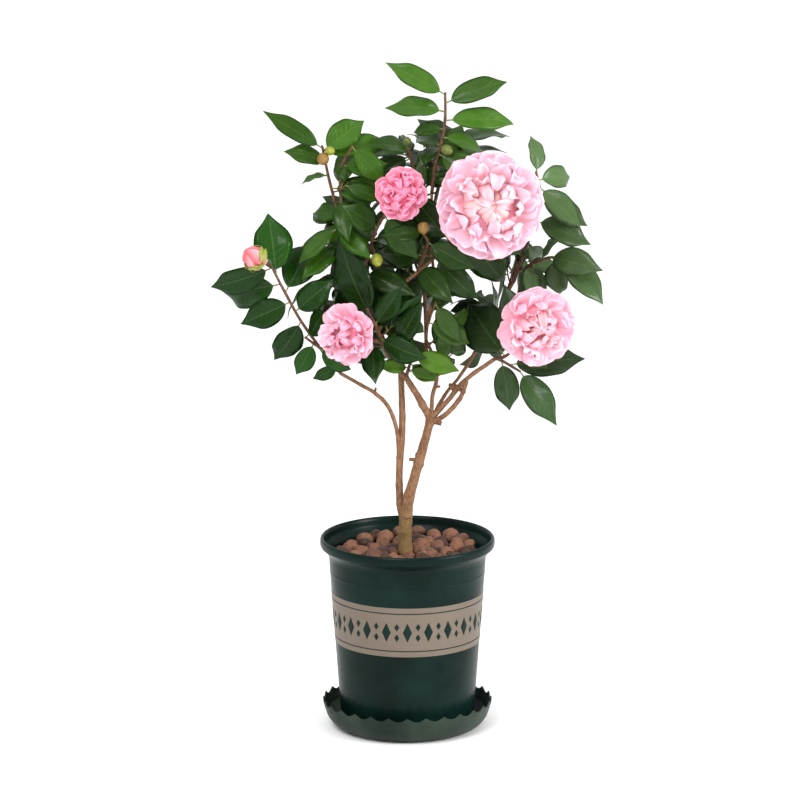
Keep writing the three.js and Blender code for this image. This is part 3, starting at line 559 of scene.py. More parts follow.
def capped(first, rings, last, along=0.0, around=0.0, side=0.0, ends=((0, 0, 0), (1, 0, 0))):
    """A closed skin over rings between two end points, each point with its place."""
    rows, count = rings.shape[:2]
    places = np.zeros((rows, count, 3))
    places[..., 0] = np.reshape(along, (-1, 1))
    places[..., 1] = around
    places[..., 2] = side
    points = np.vstack([np.reshape(first, (1, 3)), rings.reshape(-1, 3), np.reshape(last, (1, 3))])
    places = np.vstack([ends[:1], places.reshape(-1, 3), ends[1:]])
    return points, *closed_skin(rows, count), places


def spokes(side, up, w):
    """Directions side cos w + up sin w for each turn w."""
    return side[..., None, :] * np.cos(w)[:, None] + up[..., None, :] * np.sin(w)[:, None]


def turns(count):
    """Angles that go once round in equal steps."""
    return np.arange(count) / count * TAU


def frames_along(path, t, seed=(1.0, 0.0, 0.0)):
    """Headings with two side directions each, carried along the path with as little twist as can be."""
    headings = path.heading(t)
    sides = np.empty_like(headings)
    across = np.array(seed)
    for row, heading in enumerate(headings):
        across = across - heading * np.dot(across, heading)
        across = across / np.linalg.norm(across)
        sides[row] = across
    return headings, sides, np.cross(headings, sides)


def tube(path, radius_at, rings, count, relief=None, ends=0.6):
    """A round profile carried along a path: centre + r (side cos w + up sin w), with rounded ends.

    radius_at gives r along the path and relief adds a share of r that depends on t and w.
    """
    t = np.linspace(0, 1, rings)
    headings, sides, ups = frames_along(path, t)
    w = turns(count)
    radius = np.broadcast_to(radius_at(t)[:, None], (rings, count))
    if relief is not None:
        radius = radius * (1 + relief(t[:, None], w[None, :]))
    centre = path.at(t)
    ring = centre[:, None, :] + radius[..., None] * spokes(sides, ups, w)
    first = centre[0] - headings[0] * radius[0, 0] * ends
    last = centre[-1] + headings[-1] * radius[-1, 0] * ends
    return capped(first, ring, last, t * path.length, w, ends=((0, 0, 0), (path.length, 0, 0)))


# ------------------------------------------------------------------ the growth rule


def grow_limbs():
    """Every limb is a path from a place on an earlier limb, with a radius that tapers, flares and knots."""
    limbs = {}
    for plan in LIMBS:
        parent = limbs.get(plan.get("parent"))
        start = parent["path"].at(plan["at"]) if parent else plan["start"]
        foot, tip = plan["radii"]
        flare, knot = plan.get("flare", 0), plan.get("knot", 0)

        def radius_at(t, foot=foot, tip=tip, flare=flare, knot=knot):
            """A straight taper, plus flare exp(-t / 0.16) at the foot and a bell of knot at the tip."""
            swollen = flare * np.exp(-t / 0.16) + knot * np.exp(-(((1 - t) / 0.05) ** 2))
            return foot + (tip - foot) * t + swollen

        limbs[plan["name"]] = dict(path=Path([start, *plan["through"]]), radius_at=radius_at)
    return limbs


def blade_half_width(s, length, width, stalk):
    """Half the blade's width at s: t^0.65 (1 - t)^0.85 past the stalk, and the stalk's radius before it.

    The curve is divided by about its greatest value, so the widest place has the full width.
    """
    t = np.clip((s - LEAF["petiole"]) / (1 - LEAF["petiole"]), 0, 1)
    half = 0.5 * width * length * t**0.65 * (1 - t) ** 0.85 / BLADE_PEAK
    return np.maximum(half, stalk)


def leaf_points(leaf, s, u):
    """The leaf's plain surface: the midrib is an arc away from the face, the halves fold up in a V."""
    across = np.cross(leaf["along"], leaf["face"])
    arch, length = leaf["arch"], leaf["length"]
    bend = (arch * s)[..., None]
    half = blade_half_width(s, length, leaf["width"], leaf["stalk"])
    normal = leaf["face"] * np.cos(bend) + leaf["along"] * np.sin(bend)
    midrib = leaf["root"] + leaf["along"] * (length * np.sin(bend) / arch)
    midrib = midrib - leaf["face"] * (length * (1 - np.cos(bend)) / arch)
    spread = across * (half * u * math.cos(LEAF["fold"]))[..., None]
    return midrib + spread + normal * (half * np.abs(u) * math.sin(LEAF["fold"]))[..., None]


BLADE_S, BLADE_U = np.meshgrid(np.arange(15) / 14, np.arange(-3, 4) / 3, indexing="ij")


def blade_points(leaf, first):
    """The blade's coarse grid of points, from the given share of its length on."""
    keep = BLADE_S[:, 0] >= first
    return leaf_points(leaf, BLADE_S[keep], BLADE_U[keep]).reshape(-1, 3)


class Crown:
    """Everything placed so far, as small balls: place, radius and the owner's number."""

    def __init__(self):
        """Starts empty, with room for a fixed number of balls."""
        self.points = np.zeros((CROWN_ROOM, 3))
        self.radii = np.zeros(CROWN_ROOM)
        self.owners = np.zeros(CROWN_ROOM, int)
        self.count = 0
        self.names = {}

    def add(self, points, radius, owner):
        """Take up balls of one radius; each owner gets the next number when it first comes."""
        points = np.atleast_2d(points)
        rows = slice(self.count, self.count + len(points))
        self.points[rows] = points
        self.radii[rows] = radius
        self.owners[rows] = self.names.setdefault(owner, len(self.names))
        self.count += len(points)

    def is_free(self, points, gap, owner, test_own):
        """True where no ball of another owner, or of any owner if own is tested, is too near."""
        places, radii = self.points[: self.count], self.radii[: self.count]
        low = points.min(axis=0) - gap - WIDEST_BALL
        high = points.max(axis=0) + gap + WIDEST_BALL
        near = (radii >= WIDEST_BALL) | np.all((places >= low) & (places <= high), axis=1)
        if not test_own:
            near &= self.owners[: self.count] != self.names.get(owner, -1)
        if not near.any():
            return True
        places, radii = places[near], radii[near]
        squared = ((points[:, None, :] - places[None, :, :]) ** 2).sum(axis=2)
        return not bool((squared < (gap + radii)[None, :] ** 2).any())


def bloom_frame(bloom):
    """The flower's own directions: facing, and two across it."""
    side = unit(np.cross([0.0, 0.0, 1.0], bloom["facing"]))
    return side, np.cross(bloom["facing"], side)


def bloom_points(bloom):
    """The flower's centre and twelve places round it at 0.6 of its radius, for the room it needs."""
    side, up = bloom_frame(bloom)
    turn = np.arange(12)[:, None] * math.pi / 6
    ring = bloom["centre"] + 0.6 * bloom["radius"] * (side * np.cos(turn) + up * np.sin(turn))
    return np.vstack([bloom["centre"], ring])


def shoot_face(path, plan):
    """The direction in which a shoot's leaves show their faces: outward and a little upward."""
    if "face" in plan:
        return unit(np.array(plan["face"], float))
    outward = unit(path.at(0.6) - HEART)
    return unit(outward * 0.9 + np.array([0, 0, 0.55]))


def leaf_angles(plan):
    """The given angles, or for a plain count angles that alternate and close up evenly to the tip."""
    if "opens" in plan:
        return plan["opens"]
    wide, narrow = BACK_SPREAD
    last = plan["leaves"] - 1
    opens = [wide + (narrow - wide) * node / last for node in range(last + 1)]
    return [opening if node % 2 else -opening for node, opening in enumerate(opens)]


def leaf_on_shoot(path, t, face, entry, size, jitter, turn, lift):
    """One leaf of a shoot, turned about the twig and lifted by the given degrees."""
    opening, roll, broad = entry
    side = math.copysign(1, opening)
    heading = path.heading(t)
    across = unit(np.cross(heading, face)) * side
    across = spun(across, heading, math.radians(side * (turn + jitter[0] * JITTER["turn"])))
    angle = math.radians(abs(opening) + lift + jitter[1] * JITTER["open"])
    along = heading * math.cos(angle) + across * math.sin(angle)
    blade = face - along * np.dot(face, along)
    if np.linalg.norm(blade) < 0.35:
        blade = blade + heading * 0.6 * side
        blade = blade - along * np.dot(blade, along)
    rolled = side * SIDE_ROLL + jitter[2] * JITTER["roll"] + roll
    return dict(
        root=path.at(t),
        along=along,
        face=spun(unit(blade), along, math.radians(rolled)),
        length=size * (0.96 + 0.09 * jitter[3]),
        width=LEAF["width"] * broad * (1 + 0.08 * jitter[4]),
        arch=LEAF["arch"] * (1 + 0.5 * jitter[5]),
        stalk=0.9,
    )


def grow_shoot_leaves(crown, owner, path, plan, size, draw):
    """Leaves along a shoot; one with no room is turned, lifted or made smaller, or else skipped."""
    face = shoot_face(path, plan)
    angles = leaf_angles(plan)
    leaves = []
    for node, entry in enumerate(angles):
        entry = list(entry) if isinstance(entry, (list, tuple)) else [entry]
        opening, share_of_length, roll, broad = entry + [None, 1, 0, 1][len(entry) :]
        jitter = [2 * draw() - 1 for _ in range(6)]
        share = node / (len(angles) - 1) if len(angles) > 1 else 1
        t = plan["first"] + (0.98 - plan["first"]) * (1 - (1 - share) ** plan.get("crowd", 1))
        placed = None
        for shrink in (1, 0.84, 0.7):
            for turn, lift in LEAF_TRIES:
                if placed:
                    break
                length = size * share_of_length * shrink
                leaf = leaf_on_shoot(path, t, face, (opening, roll, broad), length, jitter, turn, lift)
                if not crown.is_free(blade_points(leaf, ROOM["own_from"]), ROOM["own"], owner, True):
                    continue
                if crown.is_free(blade_points(leaf, LEAF["petiole"]), ROOM["others"], owner, False):
                    placed = leaf
        if placed:
            crown.add(blade_points(placed, LEAF["petiole"]), 0, owner)
            leaves.append(placed)
    return leaves


def bud_on(bud, shoots):
    """A bud sits on a short stalk that leaves the spray's nearest shoot."""
    centre = np.array(bud["at"], float)
    nearest = shoots[0][0].at(1.0)
    for path, _ in shoots:
        places = path.spaced(2)
        best = places[np.argmin(np.linalg.norm(places - centre, axis=1))]
        if np.linalg.norm(best - centre) < np.linalg.norm(nearest - centre):
            nearest = best
    facing = unit(np.array(bud["facing"], float)) if "facing" in bud else unit(centre - nearest)
    return dict(centre=centre, facing=facing, radius=bud["radius"], stalk=Path([nearest, centre]))


def grow_sprays(limbs):
    """Every spray of the plan with its shoots, buds, bloom and the leaves that found room."""
    crown = Crown()
    for limb in limbs.values():
        crown.add(limb["path"].spaced(3), limb["radius_at"](0.5), "limb")
    sprays = []
    for plan in SPRAYS:
        shoots = []
        for shoot in plan["shoots"]:
            start = shoots[0][0].at(shoot["at"]) if shoots else limbs[plan["limb"]]["path"].at(plan["at"])
            shoots.append((Path([start, *shoot["through"]]), shoot))
        buds = [bud_on(bud, shoots) for bud in plan.get("buds", [])]
        bloom = plan.get("bloom")
        if bloom:
            centre, facing = (np.array(bloom[key], float) for key in ("centre", "facing"))
            bloom = dict(bloom, centre=centre, facing=unit(facing))
        name = plan["name"]
        for path, _ in shoots:
            crown.add(path.spaced(3), TWIG["foot"], name)
        for bud in buds:
            crown.add(bud["centre"], 0.6 * bud["radius"], name)
        if bloom:
            crown.add(bloom_points(bloom), 0.38 * bloom["radius"], name)
        sprays.append(dict(name=name, plan=plan, shoots=shoots, buds=buds, bloom=bloom, leaves=[]))
    for index, spray in enumerate(sprays):
        for order, (path, plan) in enumerate(spray["shoots"]):
            size = plan.get("leaf", spray["plan"]["leaf"])
            draw = seeded("rule", index, order)
            spray["leaves"] += grow_shoot_leaves(crown, spray["name"], path, plan, size, draw)
    return crown, sprays


def grow_finer_twigs(crown, sprays):
    """Short twigs with small leaves carry each spray on inside its own reach, wherever there is room."""
    for index, spray in enumerate(sprays):
        spray["twiglets"] = []
        low, high = (np.array(corner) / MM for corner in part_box(spray["name"]))
        draw = seeded("finer_twigs", index)
        size = FINE["leaf"] * spray["plan"]["leaf"]
        for path, plan in spray["shoots"]:
            face = shoot_face(path, plan)
            for _ in range(max(3, round(path.length / FINE["every"]))):
                t = 0.12 + 0.8 * draw()
                heading = path.heading(t)
                lean = spun(unit(np.cross(heading, face)), heading, TAU * draw())
                direction = unit(0.45 * heading + lean)
                reach = FINE["twig"] * (0.7 + 0.6 * draw())
                start = path.at(t)
                if start[1] < FINE["front"] or math.hypot(*(start - HEART)[::2]) > FINE["within"]:
                    continue
                bow = 0.12 * reach * unit(np.cross(direction, face))
                twig = Path([start, start + 0.5 * reach * direction + bow, start + reach * direction])
                outward = unit(0.55 * unit(twig.at(1.0) - HEART) + np.array([0, -0.5, 0.5]))
                grown = []
                for opening, share in ((-62, 0.55), (58, 0.8), (-12, 1.0)):
                    jitter = [2 * draw() - 1 for _ in range(6)]
                    for turn, lift in LEAF_TRIES[:9]:
                        long = size * (0.8 + 0.3 * draw())
                        leaf = leaf_on_shoot(twig, share, outward, (opening, 0, 1), long, jitter, turn, lift)
                        places = blade_points(leaf, LEAF["petiole"])
                        inside = np.all((places > low - FINE["margin"]) & (places < high + FINE["margin"]))
                        if inside and crown.is_free(blade_points(leaf, 0.3), FINE["room"], "finer", True):
                            crown.add(places, 0, "finer")
                            grown.append(leaf)
                            break
                if grown:
                    spray["twiglets"].append((twig, grown))


# ------------------------------------------------------------------ leaves


def around_blade(columns):
    """Across a thin blade and back: u runs -1 to 1 on the face and 1 to -1 on the back."""
    step = np.arange(columns) / columns
    u = 1 - np.abs(4 * step - 2)
    return u, np.where(step < 0.5, 1.0, -1.0)


def leaf_skin(leaf, draw, rows=42, columns=12):
    """The fine leaf, closed: midrib = running sum of (cos a, -sin a) where a = arch s + curl past half way.

    The half width keeps the growth rule's outline with a drawn-out tip and small forward teeth,
    the halves fold up from the midrib and the margin waves by sin(2 pi (k s + phase)) |u|^2.
    """
    length = leaf["length"]
    s = np.linspace(0, 1, rows)
    u, side = around_blade(columns)
    curl = FINE_LEAF["curl"] * (draw() - 0.35)
    bend = leaf["arch"] * s + curl * np.clip((s - 0.55) / 0.45, 0, 1) ** 2
    step = length / (rows - 1)
    middle = 0.5 * (bend[1:] + bend[:-1])
    run = np.concatenate([[0], np.cumsum(np.cos(middle))]) * step
    fall = np.concatenate([[0], np.cumsum(np.sin(middle))]) * step
    along, face = leaf["along"], leaf["face"]
    across = np.cross(along, face)
    midrib = leaf["root"] + run[:, None] * along - fall[:, None] * face
    normal = np.cos(bend)[:, None] * face + np.sin(bend)[:, None] * along
    half = blade_half_width(s, length, leaf["width"] * FINE_LEAF["wider"], 0.0)
    half = half * (1 - FINE_LEAF["narrow_tip"] * smooth(0.66, 0.97, s))
    half = np.maximum(half, 0.75 * (1 - 0.75 * smooth(0.9, 1.0, s)))
    teeth = FINE_LEAF["teeth"] * (-1.0) ** np.arange(rows) * smooth(0.16, 0.3, s)
    edge = (np.abs(u) > 0.99)[None, :] * teeth[:, None]
    lateral = half[:, None] * u[None, :] * (1 + edge)
    fold = LEAF["fold"] * (1.1 - 0.5 * s)[:, None] + 0.1 * (draw() - 0.5)
    phase, waves = draw(), 1.6 + 1.2 * draw()
    wave = np.sin(TAU * (waves * s[:, None] + phase) + 1.3 * u[None, :])
    wave = FINE_LEAF["wave"] * wave * u[None, :] ** 2
    twist = FINE_LEAF["twist"] * (draw() - 0.5) * s[:, None] ** 2
    lift = np.abs(lateral) * np.sin(fold) * (1 - 0.22 * u[None, :] ** 2)
    lift = lift + half[:, None] * wave + lateral * twist
    stalk = 1 - smooth(0.07, 0.14, s)
    thick = (LEAF_THICK["blade"] + LEAF_THICK["stalk"] * stalk)[:, None] * (1 - u[None, :] ** 4)
    thick = thick + FINE_LEAF["margin"]
    ridge = (LEAF_THICK["ridge"] * (1 - s) * (1 - stalk))[:, None] * np.exp(-((u[None, :] / 0.12) ** 2))
    ridge = ridge * (side[None, :] < 0)
    offset = lift + side[None, :] * (thick + ridge)
    rings = midrib[:, None, :] + (lateral * np.cos(fold))[..., None] * across
    rings = rings + offset[..., None] * normal[:, None, :]
    tip = midrib[-1] + 0.6 * (np.cos(bend[-1]) * along - np.sin(bend[-1]) * face)
    return capped(midrib[0] - 0.3 * along, rings, tip, s, u, side * (1 - np.abs(u) ** 8))


# ------------------------------------------------------------------ flowers and buds


def pocket_skin(rows, columns):
    """Faces over a thin petal: a fan at its seat, quads up both sides, and a seam that closes the rim.

    The points run: seat, row 0, row 1 ... , each row once across the face and back behind it.
    """
    quads, tris = closed_skin(rows, columns)
    fan = tris[:columns]
    top = 1 + (rows - 1) * columns
    inner = np.arange(1, columns // 2 - 1)
    behind = columns - 1 - inner
    seam = np.stack([top + inner, top + inner + 1, top + behind - 1, top + behind], axis=-1)
    first = [[top, top + 1, top + columns - 2, top + columns - 1]]
    return np.vstack([quads, first, seam]), fan


def petal_midline(full, radius, tilt, curl):
    """Four control places, each outward and forward, from the seat to the dome where the petal ends."""
    deep = DOME["front"] if tilt < math.pi / 2 else DOME["back"]
    tip_out, tip_up = radius * math.sin(tilt), radius * deep * math.cos(tilt)
    seat = -DOME["seat"] * full
    if curl > 0:
        brim = min(tilt + curl, 0.5 * math.pi)
        brim_out, brim_up = radius * math.sin(brim), radius * deep * math.cos(brim)
        rest = [[0.9 * brim_out, 0.8 * seat], [1.05 * brim_out, brim_up]]
        rest += [[tip_out, tip_up - 0.2 * radius * curl]]
    else:
        rise = seat + 0.28 * full * max(math.cos(tilt), -0.1)
        rest = [[0.5 * tip_out, rise], [0.86 * tip_out, tip_up - 0.2 * radius], [tip_out, tip_up]]
    return np.array([[0.03 * radius, seat], *rest])


def cubic(control, t):
    """The curve (1-t)^3 a + 3 t (1-t)^2 b + 3 t^2 (1-t) c + t^3 d, and its unit direction of travel."""
    a, b, c, d = control
    line = (1 - t) ** 3 * a + 3 * t * (1 - t) ** 2 * b
    line = line + 3 * t**2 * (1 - t) * c + t**3 * d
    travel = (1 - t) ** 2 * (b - a) + 2 * t * (1 - t) * (c - b)
    return line, unit(travel + t**2 * (d - c))


def petal_skin(bloom, turn, tilt, reach, width, cup, ruffle, roll, draw, curl=0.0, rows=12, columns=32):
    """One thin petal, closed. Its midline is a cubic from the flower's seat out to the dome at tilt.

    curl carries the midline out to the dome at tilt + curl first, and from there in over the heart.
    A point lies v (0.45 + 0.55 sqrt(1 - |u|^2.4)) along it and u (0.16 + 0.84 sin) of the half width
    across, so the rim is round. The sides cup forward by u^2, and sines across the petal ruffle it
    as v^2 toward the rim; roll turns it about its midline.
    """
    radius = bloom["radius"] * reach
    facing = bloom["facing"]
    side_way, up_way = bloom_frame(bloom)
    radial = side_way * math.cos(turn) + up_way * math.sin(turn)
    round_way = side_way * math.sin(turn) - up_way * math.cos(turn)
    u, side = around_blade(columns)
    u = np.sin(0.5 * math.pi * u)
    u_row, side_row = u[None, :], side[None, :]
    v_col = np.linspace(0, 1, rows)[:, None]
    first, second, third = draw(), draw(), draw()
    notch = 0.09 * first * np.exp(-(((u_row - 0.3 * second + 0.15) / 0.22) ** 2))
    rim = 0.45 + 0.55 * np.sqrt(1 - np.clip(np.abs(u_row), 0, 1) ** 2.4)
    t = v_col * (rim - notch * v_col + 0.025 * np.sin(TAU * (1.1 * u_row + third)) * v_col)
    line, travel = cubic(petal_midline(bloom["radius"], radius, tilt, curl), t[..., None])
    normal = -travel[..., 1:] * radial + travel[..., :1] * facing
    midline = bloom["centre"] + line[..., :1] * radial + line[..., 1:] * facing
    turnover = (roll * smooth(0.0, 0.7, t))[..., None]
    lateral_way = np.cos(turnover) * round_way + np.sin(turnover) * normal
    lift_way = np.cos(turnover) * normal - np.sin(turnover) * round_way
    half = 0.5 * width * (0.16 + 0.84 * np.sin(np.minimum(t / 0.85, 1) * math.pi / 2))
    wave = np.sin(TAU * (0.6 * u_row + first)) + 0.45 * np.sin(TAU * (1.15 * u_row + 0.6 * v_col + second))
    frill = 0.22 * np.sin(TAU * (2.1 * u_row + third)) * v_col**3
    lift = half * cup * u_row**2 + ruffle * radius * v_col**2 * (wave + frill)
    thick = (PETAL_THICK["rim"] + PETAL_THICK["foot"] * (1 - v_col)) * (1 - u_row**2)
    thick = thick * (1 - 0.8 * v_col**6) + PETAL_THICK["edge"]
    points = midline + (half * u_row)[..., None] * lateral_way
    points = points + (lift + side_row * thick)[..., None] * lift_way
    seat_point = midline[:1, 0] - 0.4 * unit(midline[1, :1] - midline[0, :1])
    points = np.vstack([seat_point, points.reshape(-1, 3)])
    places = np.stack([np.repeat(v_col[:, 0], columns), np.tile(u, rows), np.tile(side, rows)], axis=-1)
    quads, tris = pocket_skin(rows, columns)
    return points, quads, tris, np.vstack([[0, 0, 0], places])


def dress_bloom(pile, bloom, look, draw):
    """A double flower: a packed core, rings of broad guard petals, then ruffled ones in a golden spiral."""
    radius = bloom["radius"]
    back = bloom["centre"] - 0.1 * radius * bloom["facing"]
    core = egg_skin(back, bloom["facing"], 0.36 * radius, 1.6, 12, 20, spiral_folds(7, 0.1))
    pile.add(*core, 0.5 * (look["colour"] + look["deep"]))
    petals = []
    for count, *shape in look["rings"]:
        start = draw()
        petals += [(TAU * (i + start) / count, *shape, 0.0, 0.0) for i in range(count)]
    count, tilt, width, cup, ruffle, roll = look["heart_petals"]
    for i in range(count):
        share = (1 - (i + 0.5) / count) ** 0.7
        bent = draw() < smooth(0.85, 0.3, share)
        curl = look["curl"] * (1.7 - share) * (0.6 + 0.6 * draw()) if bent else 0.0
        shape = (tilt * share - 0.4 * curl, width * (0.62 + 0.38 * share), cup, ruffle)
        twist = 0.35 * roll if bent else roll
        petals.append((i * GOLDEN_ANGLE, *shape, twist, 1 - share, math.radians(curl)))
    for turn, tilt, width, cup, ruffle, roll, depth, curl in petals:
        turn = turn + 0.7 * (draw() - 0.5)
        tilt = math.radians(tilt + 13 * (draw() - 0.5))
        reach = 0.95 + 0.08 * draw() - 0.08 * draw() * depth
        width = radius * width * (0.88 + 0.24 * draw())
        ruffle = ruffle * (0.7 + 0.6 * draw())
        roll = roll * (2 * draw() - 1)
        skin = petal_skin(bloom, turn, tilt, reach, width, cup, ruffle, roll, draw, curl)
        warm = smooth(0.2, 0.8, depth) * draw()
        pale = look["colour"] + (look["warm"] - look["colour"]) * warm
        if curl > 0:
            pale = pale + (look["deep"] - pale) * look["bent_share"]
        pile.add(*skin, np.clip(pale * (0.92 + 0.08 * draw()), 0, 1))


def egg_skin(centre, facing, radius, slim, rows, columns, relief):
    """An egg about its facing: radius sin p (1 + relief) round it, radius cos p along it."""
    pole = np.linspace(0, math.pi, rows + 2)[1:-1][:, None]
    w = turns(columns)
    side = unit(np.cross(facing, [0.3, 0.2, 1.0]))
    swell = 1 + relief(1 - pole / math.pi, w[None, :])
    out = radius * slim * np.sin(pole) * (1 + 0.12 * np.cos(pole)) * swell
    height = -radius * 1.14 * np.cos(pole) * swell
    ring = centre + out[..., None] * spokes(side, np.cross(facing, side), w) + height[..., None] * facing
    ends = radius * 1.14 * facing
    return capped(centre - ends, ring, centre + ends, pole / math.pi, w, 1.0, ((0, 0, 1), (1, 0, 1)))


def scaly(rows_of_scales, per_row, height):
    """Overlapping bud scales: each row's lower edge stands proud and scallops as |sin| round the bud."""

    def relief(fraction, w):
        """Height times how far into its row a point is, less half the height."""
        row = rows_of_scales * fraction + 0.45 * np.abs(np.sin(0.5 * per_row * w))
        return height * (row - np.floor(row)) - 0.5 * height

    return relief


def spiral_folds(folds, height):
    """Wrapped petals: ridges that wind from the base of the bud to its tip."""

    def relief(fraction, w):
        """Height times how far into its fold a point is, faded by sin at both ends, less 0.4 of it."""
        winding = folds * w / TAU + 1.1 * fraction
        return height * (winding - np.floor(winding)) * np.sin(math.pi * fraction) - 0.4 * height

    return relief


# ------------------------------------------------------------------ pot, saucer, bed


def softened(profile, radius):
    """A profile whose every corner is cut back by radius on both sides and rounded with one more point."""
    points = np.array(profile, float)
    before, corner, after = points[:-2], points[1:-1], points[2:]
    back = unit(before - corner) * np.minimum(radius, 0.45 * np.linalg.norm(before - corner, axis=1))[:, None]
    on = unit(after - corner) * np.minimum(radius, 0.45 * np.linalg.norm(after - corner, axis=1))[:, None]
    rounded = np.stack([corner + back, corner + 0.29 * (back + on), corner + on], axis=1).reshape(-1, 2)
    return np.vstack([points[:1], rounded, points[-1:]])


def finely(profile, step):
    """The same profile with points no further apart than step."""
    points = np.array(profile, float)
    pieces = [points[:1]]
    for start, end in zip(points[:-1], points[1:]):
        count = max(1, math.ceil(np.linalg.norm(end - start) / step))
        pieces.append(start + (end - start) * (np.arange(1, count + 1) / count)[:, None])
    return np.vstack(pieces)


def turned(profile, count, change=None):
    """A profile of (radius, height) turned about Z; change(radius, height, w) may shift both."""
    profile = np.asarray(profile, float)
    inner = profile[1:-1]
    w = turns(count)
    radius = np.broadcast_to(inner[:, :1], (len(inner), count))
    height = np.broadcast_to(inner[:, 1:], (len(inner), count))
    if change is not None:
        radius, height = change(radius, height, w[None, :])
    ring = np.stack([radius * np.cos(w), radius * np.sin(w), height], axis=-1)
    along = np.arange(len(inner)) / len(inner)
    return capped([0, 0, profile[0, 1]], ring, [0, 0, profile[-1, 1]], along, w)


def pot_radius(height):
    """Outside radius of the pot's straight wall: a linear taper from foot to shoulder."""
    rise = (height - POT["bottom"]) / (POT["shoulder_height"] - POT["bottom"])
    return POT["foot"] + (POT["shoulder"] - POT["foot"]) * rise


def pot_profile():
    """Outside from the foot up over the rolled lip, then down the inside; a fine ring below the shoulder."""
    bottom, top, wall, lip = POT["bottom"], POT["top"], POT["wall"], POT["lip"]
    shoulder, shoulder_height = POT["shoulder"], POT["shoulder_height"]
    outside = [[0, bottom], [POT["foot"] - 1.5, bottom], [pot_radius(bottom + 1.5), bottom + 1.5]]
    ring = RING["height"]
    base = pot_radius(ring)
    outside += [[base - 0.02, ring - 0.9], [base + RING["proud"], ring], [base + 0.02, ring + 0.9]]
    outside += [
        [shoulder, shoulder_height],
        [shoulder + 0.5, shoulder_height + 2.6],
        [shoulder + 1.5, shoulder_height + 4.6],
        [shoulder + 1.7, shoulder_height + 5.4],
        [lip - 4.2, top - 12.2],
        [lip - 2.0, top - 10.2],
        [lip - 0.7, top - 9.2],
        [lip - 0.2, top - 7.6],
        [lip, top - 5.0],
        [lip - 0.2, top - 2.4],
        [lip - 1.0, top - 0.8],
        [lip - 2.0, top],
    ]
    inside = [
        [lip - 3.6, top - 0.7],
        [lip - 4.6, top - 3.5],
        [lip - 5.2, top - 8.5],
        [shoulder - wall + 1.2, shoulder_height + 4.5],
        [shoulder - wall, shoulder_height],
        [pot_radius(bottom + wall) - wall, bottom + wall],
        [0, bottom + wall],
    ]
    return softened(outside + inside, 0.7)


def saucer_profile():
    """From under the foot, out and up the dished wall to the rim, and back down inside to the floor."""
    foot, rim, height, wall, floor = (SAUCER[k] for k in ("foot", "rim", "height", "wall", "floor"))
    outside = [
        [0, 0.0], [foot - 3, 0.0], [foot - 1.5, 0.0], [foot, 0.0], [foot + 6, 1.4], [foot + 10, 3.2],
        [foot + 14, 6.4], [foot + 17, 10.2], [foot + 18.4, 12.6], [foot + 18.7, 13.2], [foot + 20, 17],
        [foot + 20.9, 20.0], [foot + 21.2, 20.5],
        [rim - 0.6, height - 2.4], [rim - 0.1, height - 1.0], [rim, height],
    ]
    inside = [
        [rim - 0.5 * wall, height + 0.3], [rim - wall, height], [rim - wall - 0.4, height - 2.4],
        [rim - wall - 1.8, 19], [foot + 20 - wall, 15.5], [foot + 16.6 - wall, 10.6], [foot + 12, 7.2],
        [foot + 8, 4.6], [foot + 3, floor], [0, floor],
    ]
    return finely(softened(outside + inside, 0.35), 3.0)


def toothed(radius, height, w):
    """The rim's top rises to points: 1 - |sin| has a sharp crest at each tooth and a hollow between."""
    rise = 1 - np.abs(np.sin(0.5 * SAUCER["teeth"] * w))
    part = smooth(SAUCER["height"] - 5.5, SAUCER["height"], height)
    return radius + 0.35 * rise * part, height + SAUCER["tooth"] * rise * part


def clay_ball(centre, size, draw, rows=9, columns=14):
    """A lumpy ball: its radius is size (1 + a few slow waves over it), and it is a little flat."""
    pole = np.linspace(0, math.pi, rows + 2)[1:-1][:, None]
    w = turns(columns)
    a, b, c = (TAU * draw() for _ in range(3))
    swell = 1 + 0.055 * np.sin(2 * w + a) * np.sin(pole) + 0.05 * np.sin(3 * w + b) * np.sin(2 * pole)
    swell = swell + 0.04 * np.cos(3 * pole + c)
    lean = spun(np.array([0.0, 0.0, 1.0]), np.array([math.cos(a), math.sin(a), 0.0]), 0.7 * draw())
    side = unit(np.cross(lean, [0.2, 1.0, 0.1]))
    ring = (size * np.sin(pole) * swell)[..., None] * spokes(side, np.cross(lean, side), w)
    ring = centre + (ring - (BALL_FLATNESS * size * np.cos(pole) * swell)[..., None] * lean)
    ends = BALL_FLATNESS * size * lean
    shade = draw()
    return capped(centre - ends, ring, centre + ends, shade, ends=((shade, 0, 0), (shade, 0, 0)))


def ball_places():
    """The source's sunflower spiral of clay balls, then smaller ones that fill in between and under."""
    draw = seeded("ball_places")
    reach = POT["shoulder"] - POT["wall"] - 0.8 - BED["ball"]

    def mound(x, y):
        """The bed rises evenly toward the back and the right from a line through its middle."""
        return BED["mound"] * max(0, (0.5 * x + y) / reach)

    balls = []
    for i in range(BED["balls"]):
        away = reach * math.sqrt((i + 1.6) / (BED["balls"] + 0.6))
        x, y = away * math.cos(i * GOLDEN_ANGLE), away * math.sin(i * GOLDEN_ANGLE)
        size = BED["ball"] * (0.84 + 0.26 * draw())
        draw()
        balls.append((np.array([x, y, BED["top"] + mound(x, y) + 1.5 * draw()]), size))
    for i in range(FINE["balls"]):
        away = (reach + 2) * math.sqrt((i + 2.2) / FINE["balls"])
        turn = i * GOLDEN_ANGLE + 1.1
        x, y = away * math.cos(turn), away * math.sin(turn)
        size = BED["ball"] * (0.62 + 0.3 * draw())
        balls.append((np.array([x, y, BED["top"] - 1.5 + mound(x, y) + 3.5 * draw()]), size))
    return balls


